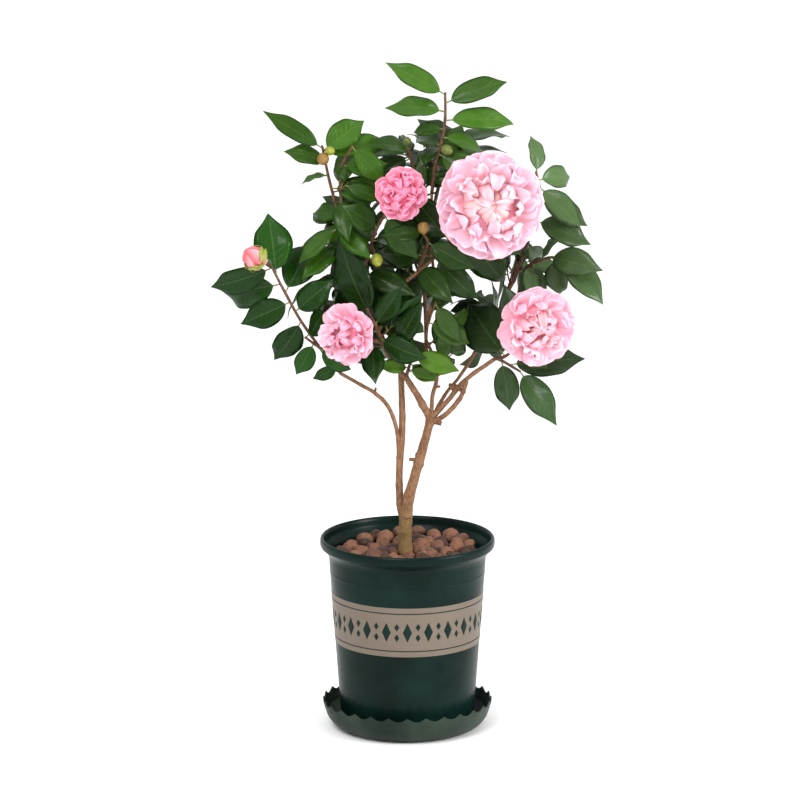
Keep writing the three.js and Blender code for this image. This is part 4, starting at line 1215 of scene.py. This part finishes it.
def on_band(x, height, lift):
    """A place on the band: x millimetres round it from the front, at a height, lifted off its face."""
    radius = pot_radius(height) + BAND["proud"] + lift
    turn = -math.pi / 2 + x / pot_radius(height)
    return np.stack([radius * np.cos(turn), radius * np.sin(turn), height], axis=-1)


def lozenge(x, height, length, broad):
    """A flat raised lozenge on the band: half width 1 - |2 s - 1| at s of its length."""
    rows, columns = 9, 8
    s = np.linspace(0.02, 0.98, rows)[:, None]
    u, side = around_blade(columns)
    px = x + 0.5 * broad * (1 - np.abs(2 * s - 1)) * u[None, :]
    pz = height + length * (s - 0.5) + 0 * px
    lift = 0.02 + 0.14 * (side[None, :] > 0) * np.ones_like(px)
    first, last = (on_band(x, height + 0.5 * length * end, 0.05) for end in (-1, 1))
    return capped(first, on_band(px, pz, lift), last, ends=np.zeros((2, 3)))


def hoop(low, high, inner, outer, rows):
    """A closed ring round the pot: a thin section up its outside and down its inside, turned about +Z."""
    near_edges = [low + 0.1, low + 0.35, high - 0.35, high - 0.1]
    heights = np.sort(np.concatenate([np.linspace(low, high, rows), near_edges]))
    section = np.concatenate([heights, heights[::-1]])
    out = (pot_radius(section) + np.repeat([outer, inner], len(heights)))[:, None]
    w = turns(POT_SIDES)
    ring = np.stack([out * np.cos(w), out * np.sin(w), section[:, None] + 0 * w], axis=-1)
    side = np.arange(POT_SIDES)
    after = (side + 1) % POT_SIDES
    rung = np.arange(len(section))[:, None]
    above = (rung + 1) % len(section) * POT_SIDES
    rung = rung * POT_SIDES
    quads = np.stack([rung + side, rung + after, above + after, above + side], axis=-1).reshape(-1, 4)
    points = ring.reshape(-1, 3)
    return points, quads, np.zeros((0, 3), int), np.zeros_like(points)


# ------------------------------------------------------------------ finishes


class Finish:
    """A material with its nodes, and short words for the few kinds of node that the finishes use."""

    def __init__(self, name, roughness, specular=0.5, metallic=0.0, coat=0.0, soft=0.0):
        """A new material with these settings; soft is how much light goes under its surface."""
        self.material = bpy.data.materials.new(name)
        self.material.use_nodes = True
        self.tree = self.material.node_tree
        self.sockets = self.tree.nodes["Principled BSDF"].inputs
        settings = {"Roughness": roughness, "Specular IOR Level": specular, "Metallic": metallic}
        settings.update({"Coat Weight": coat, "Coat Roughness": 0.12 if coat else 0.1})
        if soft:
            settings.update({"Subsurface Weight": soft, "Subsurface Scale": 0.004})
            settings["Subsurface Radius"] = (1.0, 0.45, 0.35)
        for label, value in settings.items():
            self.join(value, self.sockets[label])

    def join(self, value, socket):
        """A node's output is linked to the socket, and a plain number or colour is set on it."""
        if isinstance(value, bpy.types.NodeSocket):
            self.tree.links.new(value, socket)
        elif hasattr(value, "__len__") and socket.type == "RGBA":
            socket.default_value = (*value[:3], 1.0)
        else:
            socket.default_value = value

    def node(self, kind, values, output=0, **settings):
        """One output of a new node that has these settings and these values in its sockets."""
        node = self.tree.nodes.new("ShaderNode" + kind)
        for label, value in settings.items():
            setattr(node, label, value)
        for label, value in values.items():
            self.join(value, node.inputs[label])
        return node.outputs[output]

    def sums(self, operation, first, second=0.0, third=0.0):
        """One step of arithmetic by its name."""
        return self.node("Math", {0: first, 1: second, 2: third}, operation=operation)

    def less(self, first, second):
        """The first value less the second."""
        return self.sums("SUBTRACT", first, second)

    def times(self, first, second):
        """The product of two values."""
        return self.sums("MULTIPLY", first, second)

    def step(self, value, low, high, start=0.0, end=1.0):
        """A smooth step of value from low to high."""
        values = {"Value": value, "From Min": low, "From Max": high, "To Min": start, "To Max": end}
        return self.node("MapRange", values, "Result", interpolation_type="SMOOTHSTEP")

    def mix(self, share, first, second, blend="MIX"):
        """Two colours mixed: the first where share is 0 and the second where it is 1."""
        return self.node("Mix", {0: share, 6: first, 7: second}, 2, data_type="RGBA", blend_type=blend)

    def over(self, base, colour, where, low, high, share=1.0):
        """The base turned toward a colour by up to its share, as where steps from low to high."""
        return self.mix(self.step(where, low, high, 0.0, share), base, colour)

    def place(self):
        """Object coordinates, in metres."""
        return self.node("TexCoord", {}, "Object")

    def layer(self, name):
        """The mesh's own attribute of that name, as a vector."""
        return self.node("Attribute", {}, "Vector", attribute_name=name)

    def split(self, vector):
        """The three parts of a vector."""
        return self.node("SeparateXYZ", {0: vector}).node.outputs

    def stretched(self, vector, scale):
        """A vector with each part multiplied by its own scale."""
        return self.node("Mapping", {"Vector": vector, "Scale": scale})

    def noise(self, vector, scale, detail=3.0, rough=0.55):
        """Soft cloudy noise from 0 to 1."""
        return self.node("TexNoise", {"Vector": vector, "Scale": scale, "Detail": detail, "Roughness": rough})

    def cells(self, vector, scale):
        """The distance to the nearest of many scattered cell centres."""
        return self.node("TexVoronoi", {"Vector": vector, "Scale": scale}, "Distance")

    def rough(self, value):
        """Roughness that varies over the surface."""
        self.join(value, self.sockets["Roughness"])

    def done(self, colour, height=None, strength=1.0, distance=0.0):
        """The material, with its colour and with the relief that a height gives."""
        self.join(colour, self.sockets["Base Color"])
        if height is not None:
            bump = self.node("Bump", {"Height": height, "Strength": strength, "Distance": distance})
            self.join(bump, self.sockets["Normal"])
        return self.material


def leaf_finish():
    """Waxy green: paler midrib and side veins, matt grey-green back, soft mottling."""
    f = Finish("camellia_leaf", 0.25, specular=0.12, coat=0.09)
    s, u, side = f.split(f.layer("place"))
    off = f.sums("ABSOLUTE", u)
    midrib = f.less(1.0, f.step(off, 0.02, 0.07))
    sweep = f.less(f.times(s, LEAF_VEINS), f.times(off, 1.9))
    vein = f.sums("ABSOLUTE", f.sums("SINE", f.times(sweep, math.pi)))
    vein = f.less(1.0, f.step(vein, 0.0, 0.3))
    vein = f.times(vein, f.step(off, 0.95, 0.3))
    base = f.layer("tint")
    patch = f.noise(f.place(), 90.0)
    base = f.mix(f.step(patch, 0.35, 0.7, 0.0, 0.45), base, f.mix(1.0, base, (0.62, 0.66, 0.6), "MULTIPLY"))
    base = f.mix(f.times(vein, 0.07), base, (0.11, 0.2, 0.05))
    base = f.mix(f.times(midrib, 0.15), base, (0.13, 0.22, 0.06))
    base = f.over(base, (0.16, 0.19, 0.06), s, 0.13, 0.06)
    back = f.mix(0.5, base, (0.1, 0.16, 0.055))
    base = f.over(base, back, side, 0.05, -0.3)
    f.rough(f.step(side, 0.05, -0.3, 0.25, 0.6))
    height = f.sums("ADD", f.times(vein, -0.5), f.times(midrib, -0.6))
    height = f.sums("ADD", height, f.times(f.noise(f.place(), 700.0), 0.3))
    return f.done(base, height, 0.45, 0.0005)


def petal_finish(name, deep, deepness, foot_and_shade_colour):
    """Soft petals: each petal's tint, deeper at its foot (partly its own colour, partly painted shade deep in
    the flower), along faint veins and in patches of its rim.
    """
    f = Finish(name, 0.6, specular=0.15, soft=0.15)
    v, u, _ = f.split(f.layer("place"))
    base = f.layer("tint")
    # The foot colour is partly the petal's own deeper base and partly painted shade in the depths of the
    # flower.
    foot = f.less(1.0, f.step(v, 0.15, 0.85))
    base = f.mix(f.times(foot, deepness), base, foot_and_shade_colour)
    rim = f.sums("MAXIMUM", f.step(v, 0.95, 1.0), f.step(f.sums("ABSOLUTE", u), 0.9, 1.0))
    patch = f.step(f.noise(f.place(), 28.0), 0.35, 0.65, 0.0, 0.8 * deepness)
    base = f.mix(f.times(rim, patch), base, deep)
    veins = f.noise(f.stretched(f.layer("place"), (1.2, 20.0, 1.0)), 2.2, detail=2.0)
    return f.done(f.over(base, deep, veins, 0.45, 0.75, 0.4 * deepness), veins, 0.2, 0.0004)


def bud_finish():
    """Silky green scales with a fine brown grain, from each bud's own tint."""
    f = Finish("bud_scales", 0.42, specular=0.5, soft=0.1)
    grain = f.noise(f.place(), 500.0)
    base = f.mix(f.step(grain, 0.4, 0.65, 0.0, 0.5), f.layer("tint"), (0.16, 0.12, 0.03))
    return f.done(base, grain, 0.3, 0.0003)


def bark_finish():
    """Pale brown bark, greener at the root, with long fibres, darker patches and small pale corky dots."""
    f = Finish("stem_bark", 0.72, specular=0.3)
    place = f.place()
    fibres = f.noise(f.stretched(place, (1.0, 1.0, 0.16)), 900.0, detail=5.0)
    patches = f.noise(place, 60.0, detail=4.0)
    dots = f.cells(f.stretched(place, (1.0, 1.0, 0.6)), 330.0)
    base = f.over(srgb(106, 73, 50), srgb(146, 108, 78), fibres, 0.35, 0.65)
    base = f.over(base, srgb(96, 60, 42), patches, 0.5, 0.68, 0.6)
    base = f.over(base, srgb(206, 178, 140), dots, 0.16, 0.05, 0.5)
    base = f.over(base, srgb(118, 96, 54), f.split(place)[2], 0.235, 0.2, 0.75)
    base = f.mix(1.0, base, f.layer("tint"), "MULTIPLY")
    return f.done(base, f.sums("ADD", f.times(fibres, 0.7), f.times(patches, 0.6)), 0.7, 0.0012)


def twig_finish():
    """Young shoots: red-brown over green, smoother than the old bark."""
    f = Finish("young_twig", 0.55, specular=0.4)
    grain = f.noise(f.stretched(f.place(), (1.0, 1.0, 0.4)), 420.0, detail=4.0)
    return f.done(f.over(srgb(66, 38, 27), srgb(108, 70, 45), grain, 0.35, 0.65), grain, 0.5, 0.0006)


def plastic_finish(name, dark, light, roughness, streaks, specular=0.12):
    """Moulded plastic with faint mottling, fine scuffs round the turn and a light grain."""
    f = Finish(name, roughness, specular=specular)
    place = f.place()
    mottle = f.noise(place, 14.0, detail=4.0)
    scuffs = f.noise(f.stretched(place, (1.0, 1.0, 9.0)), streaks, detail=4.0)
    base = f.over(dark, light, mottle, 0.35, 0.7)
    base = f.over(base, light, scuffs, 0.6, 0.78, 0.18)
    f.rough(f.step(scuffs, 0.4, 0.75, roughness - 0.02, roughness + 0.07))
    return f.done(base, f.noise(place, 1500.0, detail=2.0), 0.12, 0.0002)


def band_finish():
    """A pale bronze printed band with a soft metal sheen and faint brushing round the pot."""
    f = Finish("band_bronze", 0.4, specular=0.2, metallic=0.4)
    brushed = f.noise(f.stretched(f.place(), (1.0, 1.0, 30.0)), 60.0, detail=3.0)
    base = f.over(srgb(110, 99, 88), srgb(120, 109, 97), brushed, 0.3, 0.7)
    f.rough(f.step(brushed, 0.3, 0.7, 0.38, 0.5))
    return f.done(base)


def clay_finish():
    """Burnt clay: red-brown with darker skins, pale dust and fine pits."""
    f = Finish("burnt_clay", 0.5, specular=0.3)
    place = f.place()
    shade = f.split(f.layer("place"))[0]
    blotch = f.noise(place, 130.0, detail=4.0)
    base = f.over(srgb(62, 36, 26), srgb(124, 82, 60), shade, 0.1, 0.9)
    base = f.over(base, srgb(58, 37, 30), blotch, 0.5, 0.7, 0.7)
    dust = f.noise(place, 420.0, detail=3.0)
    base = f.over(base, srgb(176, 130, 104), dust, 0.56, 0.75, 0.4)
    return f.done(base, f.sums("ADD", f.times(f.cells(place, 700.0), 0.6), blotch), 0.6, 0.0009)


def compost_finish():
    """Dark crumbly potting compost."""
    f = Finish("compost", 0.95, specular=0.15)
    crumbs = f.noise(f.place(), 260.0, detail=6.0, rough=0.7)
    return f.done(f.over(srgb(38, 28, 22), srgb(84, 62, 46), crumbs, 0.35, 0.7), crumbs, 0.9, 0.003)


# ------------------------------------------------------------------ making the pieces

limbs = grow_limbs()
crown, sprays = grow_sprays(limbs)
grow_finer_twigs(crown, sprays)
spray_names = [spray["name"] for spray in sprays]


def bark_relief(name, index, length):
    """Slow lumps of a few sines round and along a limb, and rings of swelling at its old nodes."""
    draw = seeded("bark", index)
    swelling = 0.3 if name == "trunk" else 1.0
    count = max(3, round(length / NODE_PITCH))
    nodes = [(0.08 + 0.84 * draw(), swelling * (0.1 + 0.12 * draw())) for _ in range(count)]
    first, second, third = (TAU * draw() for _ in range(3))

    def relief(t, w):
        """The lumps at t and w, plus a bell of each node's height, stronger on one side."""
        lumps = 0.035 * np.sin(3 * w + first + 9 * t) + 0.03 * np.sin(2 * w + second - 14 * t)
        lumps = lumps + 0.025 * np.sin(5 * w + third + 40 * t)
        for where, height in nodes:
            ring = np.exp(-(((t - where) * length / 2.2) ** 2))
            lumps = lumps + height * ring * (0.6 + 0.4 * np.sin(w + 40 * where))
        return lumps

    return relief


def make_limbs():
    """The trunk and boughs: tubes with a collar at the foot, lumps and swellings, and pruned stubs."""
    pile = Pile()
    for index, (name, limb) in enumerate(limbs.items()):
        length = limb["path"].length
        collar = 0.0 if name == "trunk" else 0.3

        def radius_at(t, limb=limb, collar=collar, length=length):
            """The limb's radius times 1 + collar exp(-d / 7) at d millimetres from its foot."""
            return limb["radius_at"](t) * (1 + collar * np.exp(-t * length / 7.0))

        relief = bark_relief(name, index, length)
        ends = 0.05 if name in ("left_stem", "trunk") else 0.6
        pile.add(*tube(limb["path"], radius_at, max(24, round(length / 1.6)), 22, relief, ends))
    for name, t, direction, long, radius in PRUNED_STUBS:
        start = limbs[name]["path"].at(t)
        way = unit(np.array(direction, float))
        reach = float(limbs[name]["radius_at"](t)) + long
        path = Path([start, start + 0.5 * reach * way + [0, 0, 0.4], start + reach * way])
        stub = tube(path, lambda along, r=radius: r * (1.5 - 0.5 * along), 10, 12, None, 0.25)
        pile.add(*stub, (0.8, 0.75, 0.7))
    pile.make("bark_of_trunk_and_boughs", bark_finish(), "bark", *limbs)


def make_twigs():
    """Every shoot with swollen nodes, every finer twig, and the stalks of buds and blooms."""
    pile = Pile()

    def taper(t):
        """A straight taper from foot to tip."""
        return TWIG["foot"] + (TWIG["tip"] - TWIG["foot"]) * t

    def nodes_of(t, w):
        """0.12 |sin 6.5 t|^12 swells the nodes, and 0.03 sin(3 w + 20 t) winds along."""
        return 0.12 * np.abs(np.sin(6.5 * t)) ** 12 + 0.03 * np.sin(3 * w + 20 * t)

    for spray in sprays:
        for path, _ in spray["shoots"]:
            pile.add(*tube(path, taper, max(12, round(path.length / 3)), 10, nodes_of))
        for path, _ in spray["twiglets"]:
            pile.add(*tube(path, lambda t: 0.95 - 0.35 * t, 8, 8))
        for bud in spray["buds"]:
            pile.add(*tube(bud["stalk"], lambda t: 1.1 + 0 * t, 5, 8))
        bloom = spray["bloom"]
        if bloom:
            tip = spray["shoots"][bloom.get("shoot", 0)][0].at(1.0)
            back = bloom["centre"] - 0.38 * bloom["radius"] * bloom["facing"]
            pile.add(*tube(Path([tip, back]), lambda t: 1.6 + 0.6 * t, 8, 10))
    pile.make("twigs_and_stalks", twig_finish(), "bark", *spray_names)


def make_leaves():
    """Every leaf of the growth rule and of the finer twigs, in pieces of a few sprays each."""
    finish = leaf_finish()
    number, pile, held = 1, Pile(), []
    for index, spray in enumerate(sprays):
        draw = seeded("leaf_looks", index)
        # The spray's tone carries painted light and shade: lighter where the crown is lit, deeper in its
        # shaded heart.
        tone = srgb(*SPRAY_TONES_WITH_PAINTED_LIGHT.get(spray["name"], BACK_TONE))
        for leaf in spray["leaves"]:
            pile.add(*leaf_skin(leaf, draw), tone * (0.62 + 0.8 * draw() ** 2))
        for _, young in spray["twiglets"]:
            for leaf in young:
                pile.add(*leaf_skin(leaf, draw, rows=26, columns=8), tone * (0.6 + 0.5 * draw()))
        held.append(spray["name"])
        if pile.count > LEAF_PIECE_POINTS or spray is sprays[-1]:
            pile.make(f"leaves_{number}", finish, "foliage", *held)
            number, pile, held = number + 1, Pile(), []


def make_blooms():
    """The double flowers, one piece each."""
    for index, spray in enumerate(sprays):
        if spray["bloom"]:
            look = BLOOM_LOOKS[spray["name"]]
            pile = Pile()
            dress_bloom(pile, spray["bloom"], look, seeded("petals", index))
            name = "bloom_of_" + spray["name"]
            # The bloom's foot colour also paints shade into the depths of the flower.
            finish = petal_finish(name + "_petals", look["deep"], look["deepness"], look["foot"])
            pile.make(name, finish, "foliage", spray["name"])


def add_opening_bud(bud, scales, wraps, draw):
    """An egg of wrapped petals that leans to its facing, in two rings of sepals bent in over it."""
    radius = bud["radius"]
    facing = unit(unit(bud["centre"] - bud["stalk"].at(0.0)) + 0.4 * bud["facing"])
    height = 0.2
    wrapped = spiral_folds(4, height)
    *skin, place = egg_skin(bud["centre"] + 1.5 * facing, facing, 0.92 * radius, 0.9, 44, 64, wrapped)
    # Each wrapped petal pales from under its neighbour to its own free edge.
    place[:, 0] = 0.15 + 0.6 * (wrapped(1 - place[:, 0], place[:, 1]) / height + 0.4)
    place[:, 1] = 0
    wraps.add(*skin, place, srgb(247, 172, 180))
    bend, lean, broad = math.radians(36), math.radians(46), 1.6 * radius
    for shift, count in ((-0.3, 5), (0.08, 4)):
        cup = dict(centre=bud["centre"] + shift * radius * facing, facing=facing, radius=1.02 * radius)
        for i in range(count):
            turn, reach = TAU * (i + 0.3) / count, 1.04 + 0.12 * draw()
            skin = petal_skin(cup, turn, lean, reach, broad, 0.3, 0.01, 0.1, draw, bend, 12, 12)
            scales.add(*skin, srgb(136, 148, 52))


def add_bloom_sepals(bloom, scales, draw):
    """Six sepals spread flat behind a bloom."""
    count, small, lean = 6, 0.5 * bloom["radius"], math.radians(98)
    back = bloom["centre"] - 0.32 * small * bloom["facing"]
    cup = dict(centre=back, facing=bloom["facing"], radius=small)
    for i in range(count):
        turn = TAU * i / count
        skin = petal_skin(cup, turn, lean, 1.0, 0.9 * small, 0.2, 0.01, 0.1, draw, 0.0, 8, 12)
        scales.add(*skin, srgb(96, 122, 52))


def make_buds():
    """Round scaly buds, one opening bud with wrapped petals, and the sepals of the blooms."""
    scales, wraps = Pile(), Pile()
    for index, spray in enumerate(sprays):
        draw = seeded("buds", index)
        for number, bud in enumerate(spray["buds"]):
            if bud["radius"] > OPENING_BUD_FROM:
                add_opening_bud(bud, scales, wraps, draw)
            else:
                egg = egg_skin(bud["centre"], bud["facing"], bud["radius"], 0.95, 22, 28, scaly(3.5, 5, 0.1))
                scales.add(*egg, srgb(*BUD_TONES[(index + number) % len(BUD_TONES)]))
        if spray["bloom"]:
            add_bloom_sepals(spray["bloom"], scales, draw)
    scales.make("buds_and_sepals", bud_finish(), "foliage")
    coral = srgb(214, 70, 76)
    wraps.make("opening_bud", petal_finish("opening_bud_petals", coral, 0.75, coral), "foliage")


def make_pot():
    """Pot, its pale band with rows of lozenges, and the saucer with its toothed rim."""
    pot_finish = plastic_finish("pot_plastic", srgb(5, 22, 18), srgb(14, 36, 32), 0.3, 60.0, specular=0.09)
    Pile(turned(finely(pot_profile(), 6.0), POT_SIDES)).make("pot_shell", pot_finish, "pot_plastic", "pot")
    low, high, proud = BAND["low"], BAND["high"], BAND["proud"]
    Pile(hoop(low, high, -0.6, proud, 8)).make("pot_band", band_finish(), "pot_plastic")
    pattern = Pile()
    for edge in (low + BAND["line_in"], high - BAND["line_in"]):
        pattern.add(*hoop(edge - 0.5, edge + 0.5, proud - 0.3, proud + 0.16, 2))
    middle = 0.5 * (low + high)
    pitch = TAU * pot_radius(middle) / BAND["lozenges"]
    for i in range(BAND["lozenges"]):
        x = (i - BAND["lozenges"] / 2) * pitch
        pattern.add(*lozenge(x, middle, 20.0, 9.0))
        for rise in (-5.5, 5.5):
            pattern.add(*lozenge(x + 0.5 * pitch, middle + rise, 8.0, 5.0))
    ink = plastic_finish("pattern_green", srgb(8, 30, 26), srgb(18, 42, 37), 0.5, 80.0)
    pattern.make("band_pattern", ink, "pot_plastic")
    dish = Pile(turned(saucer_profile(), 12 * SAUCER["teeth"], toothed))
    saucer_finish = plastic_finish("saucer_plastic", srgb(22, 36, 29), srgb(50, 62, 52), 0.46, 90.0)
    dish.make("saucer_dish", saucer_finish, "saucer_plastic", "saucer")


def make_bed():
    """The compost that fills the pot, with burnt clay balls over it."""
    low, top = POT["bottom"] + POT["wall"] + 0.3, BED["top"]
    inner = POT["shoulder"] - POT["wall"] - 0.8
    filling = [[0, low], [pot_radius(low) - POT["wall"] - 0.8, low]]
    filling += [[inner, top - 4], [inner, top - 2], [0, top - 2]]

    def crumbled(radius, height, w):
        """Shifts the top by 1.2 sin(7 w + r) sin(0.4 r) millimetres."""
        crumbs = 1.2 * np.sin(7 * w + radius) * np.sin(0.4 * radius)
        return radius, height + smooth(top - 5, top - 2.5, height) * crumbs

    bed = Pile(turned(finely(filling, 3.5), 72, crumbled))
    bed.make("bed_filling", compost_finish(), "clay_balls", "potting_bed")
    balls = Pile()
    draw = seeded("ball_shapes")
    stem = limbs["trunk"]["path"].at(0.0)[:2]
    for centre, size in ball_places():
        away = np.linalg.norm(centre[:2] - stem)
        need = size + STEM_ROOM
        if away < need:
            centre = centre + np.append((centre[:2] - stem) / max(away, 1.0) * (need - away), 0)
        balls.add(*clay_ball(centre, size, draw))
    balls.make("clay_balls", clay_finish(), "clay_balls")


for make in (make_limbs, make_twigs, make_leaves, make_blooms, make_buds, make_pot, make_bed):
    make()

# ------------------------------------------------------------------ stage, light, camera

FLOOR_REACH = 30.0
ROOM_LIGHT = 0.85
OVERHEAD = dict(power=0.8, spread=70, lean=(18, -12))
CAMERA = dict(place=(-0.0074, -6.5, 1.878), down=13.3495, lens=302.08, sensor=36.0)

corners = [(x * FLOOR_REACH, y * FLOOR_REACH, 0) for x, y in ((-1, -1), (1, -1), (1, 1), (-1, 1))]
floor_mesh = bpy.data.meshes.new("floor")
floor_mesh.from_pydata(corners, [], [(0, 1, 2, 3)])
floor_mesh.materials.append(Finish("pale_floor", 0.9, specular=0.1).done((0.96, 0.96, 0.96)))
floor = linked("floor", floor_mesh)

world = bpy.data.worlds.new("soft_room")
bpy.context.scene.world = world
world.use_nodes = True
background = world.node_tree.nodes["Background"].inputs
background["Color"].default_value = (1.0, 1.0, 1.0, 1.0)
background["Strength"].default_value = ROOM_LIGHT


def soft_light(name, place, aim, size, power):
    """A square area light that looks at a point."""
    lamp = bpy.data.lights.new(name, "AREA")
    lamp.size = size
    lamp.energy = power
    holder = linked(name, lamp)
    way = unit(np.array(aim, float) - np.array(place, float))
    pitch = math.acos(-way[2])
    turn = math.atan2(way[1], way[0]) - math.pi / 2
    holder.location = place
    holder.rotation_euler = (pitch, 0.0, turn)


soft_light("key", place=(-1.0, -2.4, 2.5), aim=(0, 0, 0.4), size=1.3, power=55.0)
soft_light("side", place=(2.1, -1.1, 1.1), aim=(0, 0, 0.3), size=0.8, power=45.0)

sky = bpy.data.lights.new("overhead", "SUN")
sky.energy = OVERHEAD["power"]
sky.angle = math.radians(OVERHEAD["spread"])
lean, tilt = (math.radians(angle) for angle in OVERHEAD["lean"])
linked("overhead", sky).rotation_euler = (lean, tilt, 0.0)

camera = bpy.data.cameras.new("camera")
camera.lens = CAMERA["lens"]
camera.sensor_width = CAMERA["sensor"]
eye = linked("camera", camera)
eye.location = CAMERA["place"]
eye.rotation_euler = (math.radians(90 - CAMERA["down"]), 0.0, 0.0)
bpy.context.scene.camera = eye
bpy.context.scene.view_settings.view_transform = "Standard"
